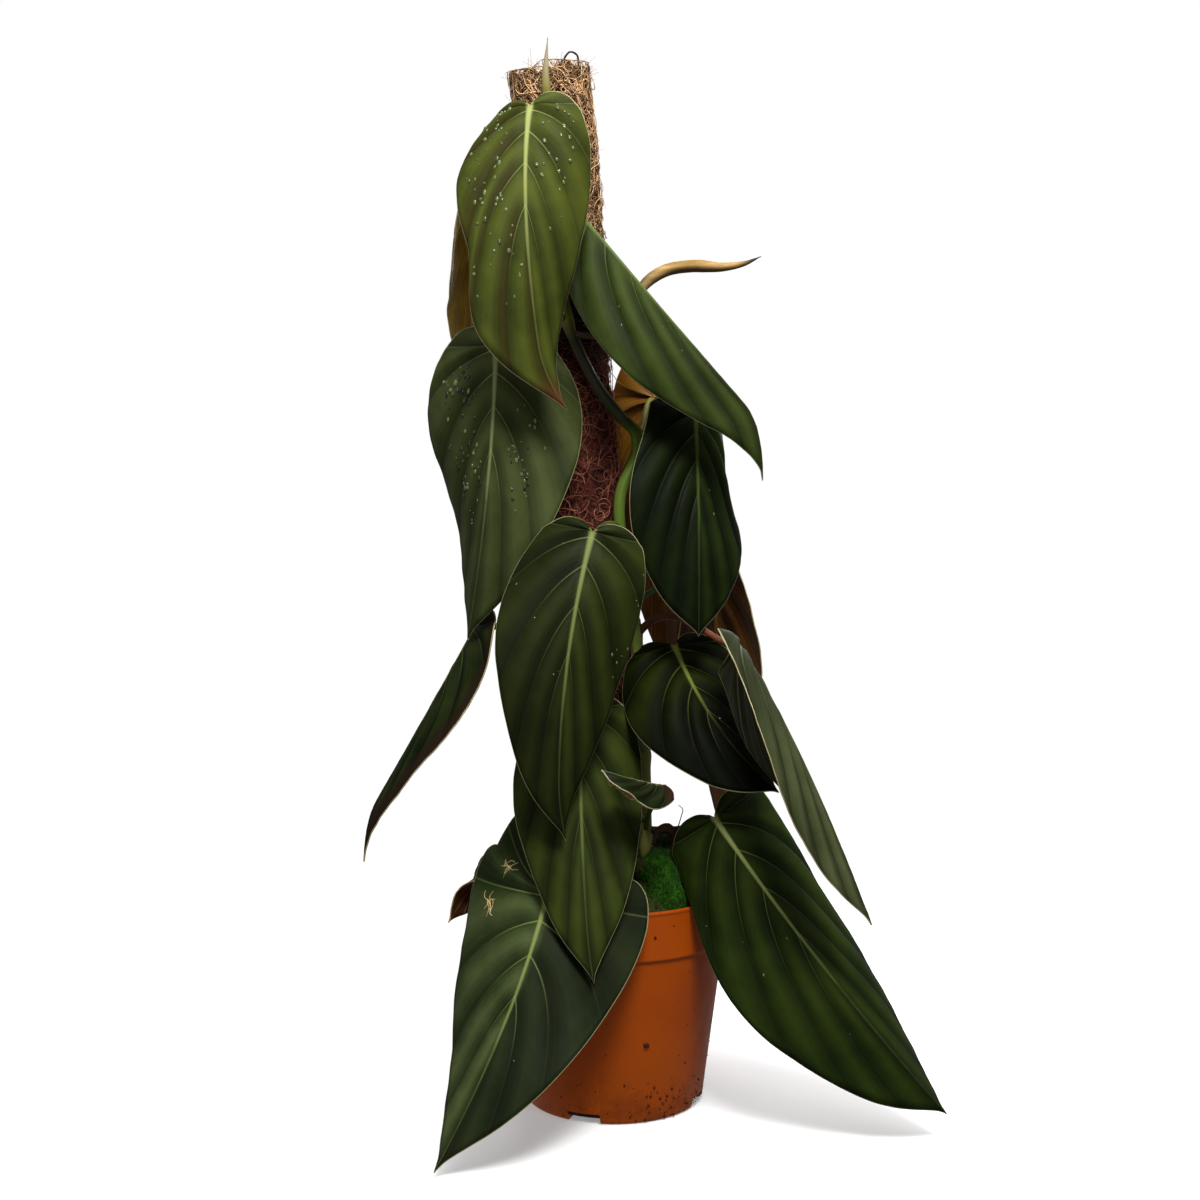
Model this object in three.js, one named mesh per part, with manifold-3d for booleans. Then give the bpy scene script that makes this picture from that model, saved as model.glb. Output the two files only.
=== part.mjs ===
// A potted climbing philodendron on a leaning coir pole, in a round plastic pot.
// Units are millimetres. +Z is up, and the origin is the middle of the pot's underside.
// The front of the plant faces -Y, and +X is to the right seen from the front.
import * as THREE from 'three';
import { mergeVertices } from 'three/addons/utils/BufferGeometryUtils.js';
import Module from 'manifold-3d';

const wasm = await Module();
wasm.setup();

// Pot
const POT_RIM_RADIUS = 85;
const POT_HEIGHT = 160;
const POT_FOOT_RADIUS = 66;
const POT_FOOT_ROUND = 4;
const POT_BAND_HEIGHT = 36;
const POT_BAND_STEP = 2;
const POT_WALL = 2.2;
const POT_FLOOR = 3;
const POT_SIDES = 44;
const NOTCH_COUNT = 4;
const NOTCH_WIDTH = 25;
const NOTCH_HEIGHT = 8;
const NOTCH_DEPTH = 16;
const NOTCH_TURN = -109.5;
const RIM_LIP = 0.6;

// Clearance between pieces that touch
const GAP = 0.3;

// Soil and moss
const SOIL_TOP = 146;
const MOSS_EDGE_HEIGHT = 7;
const MOSS_MOUND_HEIGHT = 50;
const MOSS_SIDES = 32;
const MOSS_RINGS = 6;
const CUSHION_CENTRE = [36, -38];
const CUSHION_SIZE = [29, 29, 38];
const CUSHION_FOOT = 156;
const CUSHION_SIDES = 18;
const CUSHION_RINGS = 9;

// Pole, leaning to the left
const POLE_RADIUS = 28;
const POLE_CORE_RADIUS = 11;
const POLE_TOP = 748;
const POLE_CORE_TOP = 735;
const POLE_CORE_FOOT = 12;
const POLE_SLEEVE_FOOT = 70;
const POLE_FOOT_X = 13;
const POLE_LEAN = 0.0778;
const POLE_SIDES = 28;
const POLE_RAGGEDNESS = 1.3;
const POLE_RINGS = 18;
const POLE_CORE_SIDES = 20;
const WIRE_RADIUS = 0.7;
const WIRE_SIDES = 6;
const WIRE_STEPS = 12;

// Plant
const STEM_RADIUS = 4.2;
const STEM_SIDES = 9;
const STEM_STEPS = 50;
const JOINT_SWELLING = 1.1;
const JOINT_REACH = 6;
const PETIOLE_RADIUS = 2.3;
const PETIOLE_SIDES = 6;
const PETIOLE_STEPS = 10;
const BLADE_THICKNESS = 1.3;
const MIDRIB_DEPTH = 1.8;
const VEINS_PER_HALF = 6;
const PLEAT_HEIGHT = 2.6;
const EDGE_WAVE = 2.5;
const BLADE_COLUMNS = [0, 0.08, 0.36, 0.7, 1];
const BLADE_LINES = 2 * VEINS_PER_HALF;
const ROOTED_SHARE = 0.42;
const ROLL_SWELLING = 2.2;
const ROLL_SIDES = 8;
const ROLL_STEPS = 26;
const SHEATH_RADIUS = 3.7;
const SHEATH_STEPS = 12;

const vec = ([x, y, z]) => new THREE.Vector3(x, y, z);

// Middle of the pole at a height
function poleAxis(z) {
  return new THREE.Vector3(POLE_FOOT_X - POLE_LEAN * z, 0, z);
}

function solidOf(geometry) {
  const bare = geometry.clone();
  bare.deleteAttribute('normal');
  bare.deleteAttribute('uv');
  const merged = mergeVertices(bare, 1e-4);
  const mesh = new wasm.Mesh({
    numProp: 3,
    vertProperties: new Float32Array(merged.attributes.position.array),
    triVerts: new Uint32Array(merged.index.array),
  });
  return new wasm.Manifold(mesh);
}

function geometryOf(solid) {
  const mesh = solid.getMesh();
  const geometry = new THREE.BufferGeometry();
  const positions = new Float32Array(mesh.vertProperties);
  geometry.setAttribute('position', new THREE.BufferAttribute(positions, 3));
  geometry.setIndex(new THREE.BufferAttribute(new Uint32Array(mesh.triVerts), 1));
  geometry.computeVertexNormals();
  return geometry;
}

function geometryFromLists(points, triangles) {
  const geometry = new THREE.BufferGeometry();
  const positions = points.flatMap((p) => [p.x, p.y, p.z]);
  geometry.setAttribute('position', new THREE.Float32BufferAttribute(positions, 3));
  geometry.setIndex(triangles.flat());
  geometry.computeVertexNormals();
  return geometry;
}

// A solid made of rings of points, closed by a fan at each end
function ringsSolid(rings) {
  const sides = rings[0].length;
  const points = rings.flat();
  const triangles = [];
  const middle = (ring) => ring.reduce((sum, p) => sum.add(p), new THREE.Vector3()).divideScalar(sides);
  for (let i = 0; i + 1 < rings.length; i += 1) {
    for (let j = 0; j < sides; j += 1) {
      const a = i * sides + j;
      const b = i * sides + ((j + 1) % sides);
      triangles.push([a, b, b + sides], [a, b + sides, a + sides]);
    }
  }
  const first = points.push(middle(rings[0])) - 1;
  const last = points.push(middle(rings[rings.length - 1])) - 1;
  const end = (rings.length - 1) * sides;
  for (let j = 0; j < sides; j += 1) {
    const k = (j + 1) % sides;
    triangles.push([first, k, j], [last, end + j, end + k]);
  }
  return geometryFromLists(points, triangles);
}

// A round tube along a curve, whose radius is a function of the share of the length
function tube(curve, radiusAt, sides, steps) {
  const frames = curve.computeFrenetFrames(steps, false);
  const rings = [];
  for (let i = 0; i <= steps; i += 1) {
    const centre = curve.getPointAt(i / steps);
    const radius = radiusAt(i / steps);
    const ring = [];
    for (let j = 0; j < sides; j += 1) {
      const angle = (2 * Math.PI * j) / sides;
      const p = centre.clone();
      p.addScaledVector(frames.normals[i], radius * Math.cos(angle));
      p.addScaledVector(frames.binormals[i], radius * Math.sin(angle));
      ring.push(p);
    }
    rings.push(ring);
  }
  return ringsSolid(rings);
}

// The pot: flat underside, flared wall, a band at the rim and drain notches at the foot
function potGeometry() {
  const bandFoot = POT_HEIGHT - POT_BAND_HEIGHT;
  const bodyTop = POT_RIM_RADIUS - POT_BAND_STEP - 1;
  const profile = [
    [0, 0],
    [POT_FOOT_RADIUS - POT_FOOT_ROUND, 0],
    [POT_FOOT_RADIUS - 1, 1],
    [POT_FOOT_RADIUS + 0.5, POT_FOOT_ROUND],
    [bodyTop, bandFoot],
    [POT_RIM_RADIUS - 1, bandFoot + 1],
    [POT_RIM_RADIUS - RIM_LIP, POT_HEIGHT - 3],
    [POT_RIM_RADIUS, POT_HEIGHT - 2.4],
    [POT_RIM_RADIUS, POT_HEIGHT - 0.5],
    [POT_RIM_RADIUS - 0.5, POT_HEIGHT],
    [POT_RIM_RADIUS - POT_WALL, POT_HEIGHT],
    [POT_RIM_RADIUS - POT_WALL - 1, bandFoot + 1],
    [bodyTop - POT_WALL, bandFoot - 1],
    [POT_FOOT_RADIUS - POT_WALL, POT_FLOOR + 2],
    [POT_FOOT_RADIUS - POT_WALL - 2, POT_FLOOR],
    [0, POT_FLOOR],
  ].map(([r, z]) => new THREE.Vector2(r, z));
  const turned = new THREE.LatheGeometry(profile, POT_SIDES).rotateX(Math.PI / 2);
  let pot = solidOf(turned);
  for (let i = 0; i < NOTCH_COUNT; i += 1) {
    const notch = new THREE.BoxGeometry(2 * NOTCH_DEPTH, NOTCH_WIDTH, 2 * NOTCH_HEIGHT);
    notch.translate(POT_FOOT_RADIUS, 0, 0);
    notch.rotateZ(THREE.MathUtils.degToRad(NOTCH_TURN + (360 * i) / NOTCH_COUNT));
    pot = pot.subtract(solidOf(notch));
  }
  return geometryOf(pot);
}

// Radius of the pot's inside at a height
function potInside(z) {
  const bandFoot = POT_HEIGHT - POT_BAND_HEIGHT;
  const low = POT_FOOT_RADIUS - POT_WALL;
  const high = POT_RIM_RADIUS - POT_BAND_STEP - 1 - POT_WALL;
  return low + ((high - low) * (z - POT_FLOOR)) / (bandFoot - POT_FLOOR);
}

// A round rod around the middle of the pole, between two heights
function poleRod(radius, from, to) {
  const rod = new THREE.CylinderGeometry(radius, radius, to - from, POLE_CORE_SIDES);
  rod.rotateX(Math.PI / 2);
  const middle = (from + to) / 2;
  const shear = new THREE.Matrix4().set(1, 0, -POLE_LEAN, 0, 0, 1, 0, 0, 0, 0, 1, 0, 0, 0, 0, 1);
  rod.applyMatrix4(shear);
  return rod.translate(poleAxis(middle).x, 0, middle);
}

// The outer shape of the coir wrap: an uneven rod with a frayed top
function sleeveSolid(extra) {
  const rings = [];
  for (let i = 0; i <= POLE_RINGS; i += 1) {
    const z = POLE_SLEEVE_FOOT + ((POLE_TOP - POLE_SLEEVE_FOOT) * i) / POLE_RINGS;
    const ring = [];
    for (let j = 0; j < POLE_SIDES; j += 1) {
      const angle = (2 * Math.PI * j) / POLE_SIDES;
      const uneven = Math.sin(2.3 * i + 1.7 * Math.cos(angle)) + Math.sin(3 * angle + 0.9 * i);
      const radius = POLE_RADIUS + POLE_RAGGEDNESS * (0.5 * uneven - 1) + extra;
      const frayed = i === POLE_RINGS ? 3.5 * Math.sin(5 * angle) + 2.5 * Math.sin(11 * angle + 1) : 0;
      const foot = i === 0 ? -extra : 0;
      const p = poleAxis(z + frayed + foot);
      ring.push(new THREE.Vector3(p.x + radius * Math.cos(angle), radius * Math.sin(angle), p.z));
    }
    rings.push(ring);
  }
  return solidOf(ringsSolid(rings));
}

const wireCurve = new THREE.CatmullRomCurve3([
  vec([-37, -17, 736]),
  vec([-36, -18, 750]),
  vec([-31, -19, 757]),
  vec([-26, -18, 755]),
  vec([-25, -17, 748]),
]);

// The coir wrap, bored for the core and for the end of the wire
function sleeveGeometry() {
  const bore = solidOf(poleRod(POLE_CORE_RADIUS + GAP, POLE_SLEEVE_FOOT - 10, POLE_TOP + 20));
  const wire = solidOf(tube(wireCurve, () => WIRE_RADIUS + GAP, WIRE_SIDES, WIRE_STEPS));
  return geometryOf(sleeveSolid(0).subtract(bore).subtract(wire));
}

// What passes down through the moss and the soil, with its clearance
function plantedPieces() {
  const core = solidOf(poleRod(POLE_CORE_RADIUS + GAP, POLE_CORE_FOOT - GAP, POLE_TOP));
  return [sleeveSolid(GAP), core, stemClearance];
}

function soilGeometry() {
  const foot = POT_FLOOR + GAP;
  const bandFoot = POT_HEIGHT - POT_BAND_HEIGHT;
  const profile = [
    [0, foot],
    [POT_FOOT_RADIUS - POT_WALL - 2.4, foot],
    [potInside(foot + 4) - GAP, foot + 4],
    [potInside(bandFoot - 1) - GAP, bandFoot - 1],
    [POT_RIM_RADIUS - POT_WALL - 1 - GAP, bandFoot + 2],
    [POT_RIM_RADIUS - POT_WALL - 0.8 - GAP, SOIL_TOP],
    [0, SOIL_TOP],
  ].map(([r, z]) => new THREE.Vector2(r, z));
  let soil = solidOf(new THREE.LatheGeometry(profile, POT_SIDES).rotateX(Math.PI / 2));
  for (const piece of plantedPieces()) soil = soil.subtract(piece);
  return geometryOf(soil);
}

// Height of the moss over the soil at a share of the pot's radius and an angle
function mossHeight(share, angle) {
  const mound = MOSS_MOUND_HEIGHT * (1 - share ** 2);
  const lumps = 2.6 * Math.sin(3 * angle + 7 * share) + 1.8 * Math.sin(7 * angle - 5 * share);
  return MOSS_EDGE_HEIGHT + mound + lumps * share + 4 * share * Math.sin(angle);
}

// The bright clump: a lumpy dome
function cushionSolid(extra) {
  const [width, depth, height] = CUSHION_SIZE;
  const rings = [];
  for (let i = CUSHION_RINGS; i >= 1; i -= 1) {
    const down = (0.6 * Math.PI * i) / CUSHION_RINGS;
    const ring = [];
    for (let j = 0; j < CUSHION_SIDES; j += 1) {
      const angle = (2 * Math.PI * j) / CUSHION_SIDES;
      const x = Math.sin(down) * Math.cos(angle);
      const y = Math.sin(down) * Math.sin(angle);
      const bulge = 1 + 0.05 * Math.sin(5 * x + 4 * y + 3 * i);
      const z = Math.cos(down);
      const p = new THREE.Vector3((width + extra) * x, (depth + extra) * y, (height + extra) * z);
      ring.push(p.multiplyScalar(bulge));
    }
    rings.push(ring);
  }
  const dome = ringsSolid(rings);
  return solidOf(dome.translate(CUSHION_CENTRE[0], CUSHION_CENTRE[1], CUSHION_FOOT));
}

// The moss that covers the soil, cut for the pole, the stem and the clump
function mossGeometry() {
  const radius = POT_RIM_RADIUS - POT_WALL - 1 - GAP;
  const foot = SOIL_TOP + GAP;
  const rings = [];
  for (let i = MOSS_RINGS; i >= 0; i -= 1) {
    const share = Math.max(0.06, i / MOSS_RINGS);
    const ring = [];
    for (let j = 0; j < MOSS_SIDES; j += 1) {
      const angle = (2 * Math.PI * j) / MOSS_SIDES;
      const p = new THREE.Vector3(Math.cos(angle), Math.sin(angle), 0).multiplyScalar(radius * share);
      p.z = SOIL_TOP + mossHeight(share, angle);
      ring.push(p);
    }
    rings.push(ring);
  }
  rings.unshift(rings[0].map((p) => new THREE.Vector3(p.x, p.y, foot)));
  let moss = solidOf(ringsSolid(rings));
  for (const piece of plantedPieces()) moss = moss.subtract(piece);
  return geometryOf(moss.subtract(cushionSolid(GAP)));
}

function cushionGeometry() {
  let cushion = cushionSolid(0);
  for (const piece of plantedPieces()) cushion = cushion.subtract(piece);
  const inside = POT_RIM_RADIUS - POT_WALL - 2;
  const room = new THREE.CylinderGeometry(inside, inside, POT_HEIGHT, POT_SIDES);
  room.rotateX(Math.PI / 2).translate(0, 0, SOIL_TOP + GAP + POT_HEIGHT / 2);
  return geometryOf(cushion.intersect(solidOf(room)));
}

const stemCurve = new THREE.CatmullRomCurve3([
  vec([27, -27, 90]),
  vec([24, -31, 150]),
  vec([23, -31, 207]),
  vec([21, -29, 272]),
  vec([16, -29, 345]),
  vec([5, -30, 420]),
  vec([5, -31, 452]),
  vec([16, -26, 478]),
  vec([16, -27, 492]),
  vec([4, -32, 505]),
  vec([-12, -34, 526]),
  vec([-27, -35.5, 556]),
  vec([-33, -35.5, 572]),
  vec([-39, -35, 625]),
  vec([-44, -34.5, 690]),
], false, 'centripetal');

// Swellings of the stem where leaves leave it, as heights
const STEM_JOINTS = [196, 262, 306, 352, 412, 487, 571, 640, 676];

function stemRadius(share, extra) {
  const z = stemCurve.getPointAt(share).z;
  const near = (joint) => Math.exp(-(((z - joint) / JOINT_REACH) ** 2));
  const swelling = STEM_JOINTS.reduce((sum, joint) => sum + JOINT_SWELLING * near(joint), 0);
  const taper = 1.1 - 0.25 * share;
  return STEM_RADIUS * taper + swelling + extra;
}

const stemGeometry = tube(stemCurve, (t) => stemRadius(t, 0), STEM_SIDES, STEM_STEPS);
const stemClearance = solidOf(tube(stemCurve, (t) => stemRadius(t, GAP), STEM_SIDES, STEM_STEPS));

// Point of the stem at a height, by halving
function stemPointAt(z) {
  let low = 0;
  let high = 1;
  for (let i = 0; i < 30; i += 1) {
    const middle = (low + high) / 2;
    if (stemCurve.getPointAt(middle).z < z) low = middle;
    else high = middle;
  }
  return stemCurve.getPointAt(low);
}

// Outline of half a blade: share of the length along the midrib, share of the half width
const HALF_OUTLINE = new THREE.SplineCurve([
  [-0.03, 0.05],
  [-0.07, 0.2],
  [-0.075, 0.42],
  [-0.03, 0.64],
  [0.05, 0.82],
  [0.14, 0.95],
  [0.25, 1],
  [0.38, 0.96],
  [0.5, 0.85],
  [0.62, 0.71],
  [0.74, 0.55],
  [0.84, 0.36],
  [0.92, 0.16],
  [0.965, 0.05],
  [1, 0],
].map(([x, y]) => new THREE.Vector2(x, y)));

const smooth = (x) => x * x * (3 - 2 * x);

// Frame of a blade at a share of its length: middle line, direction, across and outward
function bladeFrame(spec, share) {
  const base = vec(spec.base);
  const tip = vec(spec.tip);
  const middle = vec(spec.mid);
  const handle = middle.multiplyScalar(2).addScaledVector(base, -0.5).addScaledVector(tip, -0.5);
  const curve = new THREE.QuadraticBezierCurve3(base, handle, tip);
  const t = THREE.MathUtils.clamp(share, 0, 1);
  const along = curve.getTangent(t);
  const point = curve.getPoint(t);
  if (share < 0) point.addScaledVector(along, share * base.distanceTo(tip));
  const late = Math.max(0, (t - 0.8) / 0.2);
  if (spec.hook) point.addScaledVector(vec(spec.hook), late * late);
  const out = vec(spec.face).lerp(vec(spec.faceTip ?? spec.face), t);
  out.addScaledVector(along, -out.dot(along)).normalize();
  const across = out.clone().cross(along);
  return { point, along, across, out };
}

// A point on the upper face of a blade and the outward direction there
function bladePoint(spec, side, veinShare, outShare) {
  const edge = HALF_OUTLINE.getPointAt(veinShare);
  const fullShoulder = (side < 0 ? spec.shoulderLeft : spec.shoulder) ?? 0;
  const shoulder = fullShoulder * Math.sin(Math.PI * Math.min(1, 1.45 * veinShare)) ** 2;
  const outline = edge.x < 0 ? edge.x * (spec.lobe ?? 1) : edge.x ** (spec.broad ?? 1);
  const edgeAlong = outline - shoulder;
  const root = Math.max(0, (veinShare - ROOTED_SHARE) / (1 - ROOTED_SHARE)) ** 1.35;
  const arch = 1 + 0.5 * smooth(Math.min(1, veinShare * 3));
  const share = root + (edgeAlong - root) * outShare ** arch;
  const late = smooth(THREE.MathUtils.clamp((edge.x - 0.5) / 0.3, 0, 1));
  const fullness = 1 + late * (side < 0 ? spec.fullLeft ?? 0 : 0);
  const halfWidth = spec.width / 2;
  const distance = edge.y * fullness * halfWidth * outShare;
  const frame = bladeFrame(spec, share);
  const [fold, curl] = side > 0 ? spec.right : spec.left;
  const start = THREE.MathUtils.degToRad(fold);
  const bend = THREE.MathUtils.degToRad(curl || 0.01) / halfWidth;
  const angle = start + bend * distance;
  const reach = (Math.sin(angle) - Math.sin(start)) / bend;
  const rise = (Math.cos(start) - Math.cos(angle)) / bend;
  const normal = frame.out.clone().multiplyScalar(Math.cos(angle));
  normal.addScaledVector(frame.across, -side * Math.sin(angle));
  const pleat = Math.abs(Math.sin(Math.PI * VEINS_PER_HALF * veinShare));
  const swellOut = Math.sin(Math.PI * (0.12 + 0.8 * outShare));
  const swell = swellOut * Math.sin(Math.PI * (0.1 + 0.9 * veinShare));
  const ripple = Math.sin(9 * share + 2 * side + (spec.phase ?? 0)) * Math.min(1, 4 * (1 - veinShare));
  const wave = EDGE_WAVE * ripple * outShare ** 2;
  const drop = share < 0 ? (spec.lobeDrop ?? 0) * (share * 10) ** 2 : 0;
  const point = frame.point.clone();
  point.addScaledVector(frame.across, side * reach);
  point.addScaledVector(frame.out, rise - drop);
  point.addScaledVector(normal, pleat * PLEAT_HEIGHT * swell + wave);
  const ridge = outShare === 0 ? MIDRIB_DEPTH * (1 - 0.75 * Math.max(0, share)) : 0;
  return { point, under: point.clone().addScaledVector(normal, -BLADE_THICKNESS - ridge) };
}

// Both faces of a blade on one grid of vein lines, joined by a wall at the edge
function bladeGeometry(spec) {
  const columns = spec.columns ?? BLADE_COLUMNS;
  const lines = spec.lines ?? BLADE_LINES;
  const upper = [];
  const lower = [];
  const ids = new Map();
  const idOf = (side, line, column) => {
    let key = `${side},${line},${column}`;
    if (column === 0) key = line / lines <= ROOTED_SHARE ? 'base' : `mid,${line}`;
    if (line === lines) key = 'tip';
    if (!ids.has(key)) {
      const { point, under } = bladePoint(spec, side, line / lines, columns[column]);
      ids.set(key, upper.push(point) - 1);
      lower.push(under);
    }
    return ids.get(key);
  };
  const faces = [];
  const edge = [];
  const addFace = (a, b, c) => {
    if (a !== b && b !== c && a !== c) faces.push([a, b, c]);
  };
  for (const side of [1, -1]) {
    const rim = [];
    for (let column = 0; column < columns.length; column += 1) rim.push(idOf(side, 0, column));
    for (let line = 1; line <= lines; line += 1) rim.push(idOf(side, line, columns.length - 1));
    for (let line = 0; line < lines; line += 1) {
      for (let column = 0; column + 1 < columns.length; column += 1) {
        const a = idOf(side, line, column);
        const b = idOf(side, line, column + 1);
        const c = idOf(side, line + 1, column + 1);
        const d = idOf(side, line + 1, column);
        if (side > 0) {
          addFace(a, c, b);
          addFace(a, d, c);
        } else {
          addFace(a, b, c);
          addFace(a, c, d);
        }
      }
    }
    for (let i = 0; i + 1 < rim.length; i += 1) {
      edge.push(side > 0 ? [rim[i], rim[i + 1]] : [rim[i + 1], rim[i]]);
    }
  }
  const n = upper.length;
  const triangles = [];
  for (const [a, b, c] of faces) {
    triangles.push([a, b, c], [n + a, n + c, n + b]);
  }
  for (const [a, b] of edge) {
    if (a !== b) triangles.push([a, b, n + b], [a, n + b, n + a]);
  }
  return geometryFromLists([...upper, ...lower], triangles);
}

// The leaf stalk: from the stem, up and out, and over into the back of the midrib
function petioleCurve(spec) {
  const frame = bladeFrame(spec, 0);
  const radius = spec.petioleRadius ?? PETIOLE_RADIUS;
  const end = vec(spec.base).addScaledVector(frame.along, 6);
  end.addScaledVector(frame.out, -radius - 0.5);
  const start = stemPointAt(spec.stemHeight);
  const length = start.distanceTo(end);
  const leave = vec(spec.leave ?? [0, -0.5, 1]).normalize();
  const arrive = frame.along.clone().addScaledVector(frame.out, spec.arrive ?? 0.6).normalize();
  const near = start.clone().addScaledVector(leave, length * 0.42);
  const far = end.clone().addScaledVector(arrive, -length * 0.38);
  return new THREE.CubicBezierCurve3(start, near, far, end);
}

// One leaf: blade and stalk in one, shaped to the stem at its foot
function leafGeometry(spec) {
  const radius = spec.petioleRadius ?? PETIOLE_RADIUS;
  const blade = solidOf(bladeGeometry(spec));
  const thickness = (t) => radius * (1.25 - 0.3 * smooth(Math.min(1, 2 * t)));
  const petiole = solidOf(tube(petioleCurve(spec), thickness, PETIOLE_SIDES, PETIOLE_STEPS));
  return geometryOf(blade.add(petiole).subtract(stemClearance));
}

// A young leaf still rolled into a spike on its stalk
const rolledCurve = new THREE.CatmullRomCurve3([
  stemPointAt(562),
  vec([-8, -41, 561]),
  vec([11, -22, 575]),
  vec([22, -4, 598]),
  vec([37, 2, 608]),
  vec([56, 0, 611]),
  vec([77, -5, 610]),
  vec([92, -8, 612]),
  vec([104, -10, 617]),
]);

function rolledRadius(t) {
  const roll = ROLL_SWELLING * smooth(THREE.MathUtils.clamp((t - 0.35) / 0.2, 0, 1));
  const point = THREE.MathUtils.clamp((1 - t) / 0.25, 0.04, 1);
  return (PETIOLE_RADIUS + roll) * point ** 0.8;
}

function rolledGeometry() {
  return geometryOf(solidOf(tube(rolledCurve, rolledRadius, ROLL_SIDES, ROLL_STEPS)).subtract(stemClearance));
}

// The pointed sheath at the growing end of the stem
function growingTipGeometry() {
  const curve = new THREE.CatmullRomCurve3([
    vec([-44, -34.5, 690.4]),
    vec([-46, -35.5, 715]),
    vec([-47.5, -37, 738]),
    vec([-46, -36, 764]),
  ]);
  const point = (t) => THREE.MathUtils.clamp((1 - t) / 0.45, 0.09, 1) ** 0.9;
  const sheath = tube(curve, (t) => SHEATH_RADIUS * (1 - 0.2 * t) * point(t), ROLL_SIDES, SHEATH_STEPS);
  return geometryOf(solidOf(sheath).subtract(stemClearance));
}

const OLIVE = '#2b3a20';
const DARK = '#182412';
const BRIGHT = '#3a4b25';

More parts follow.
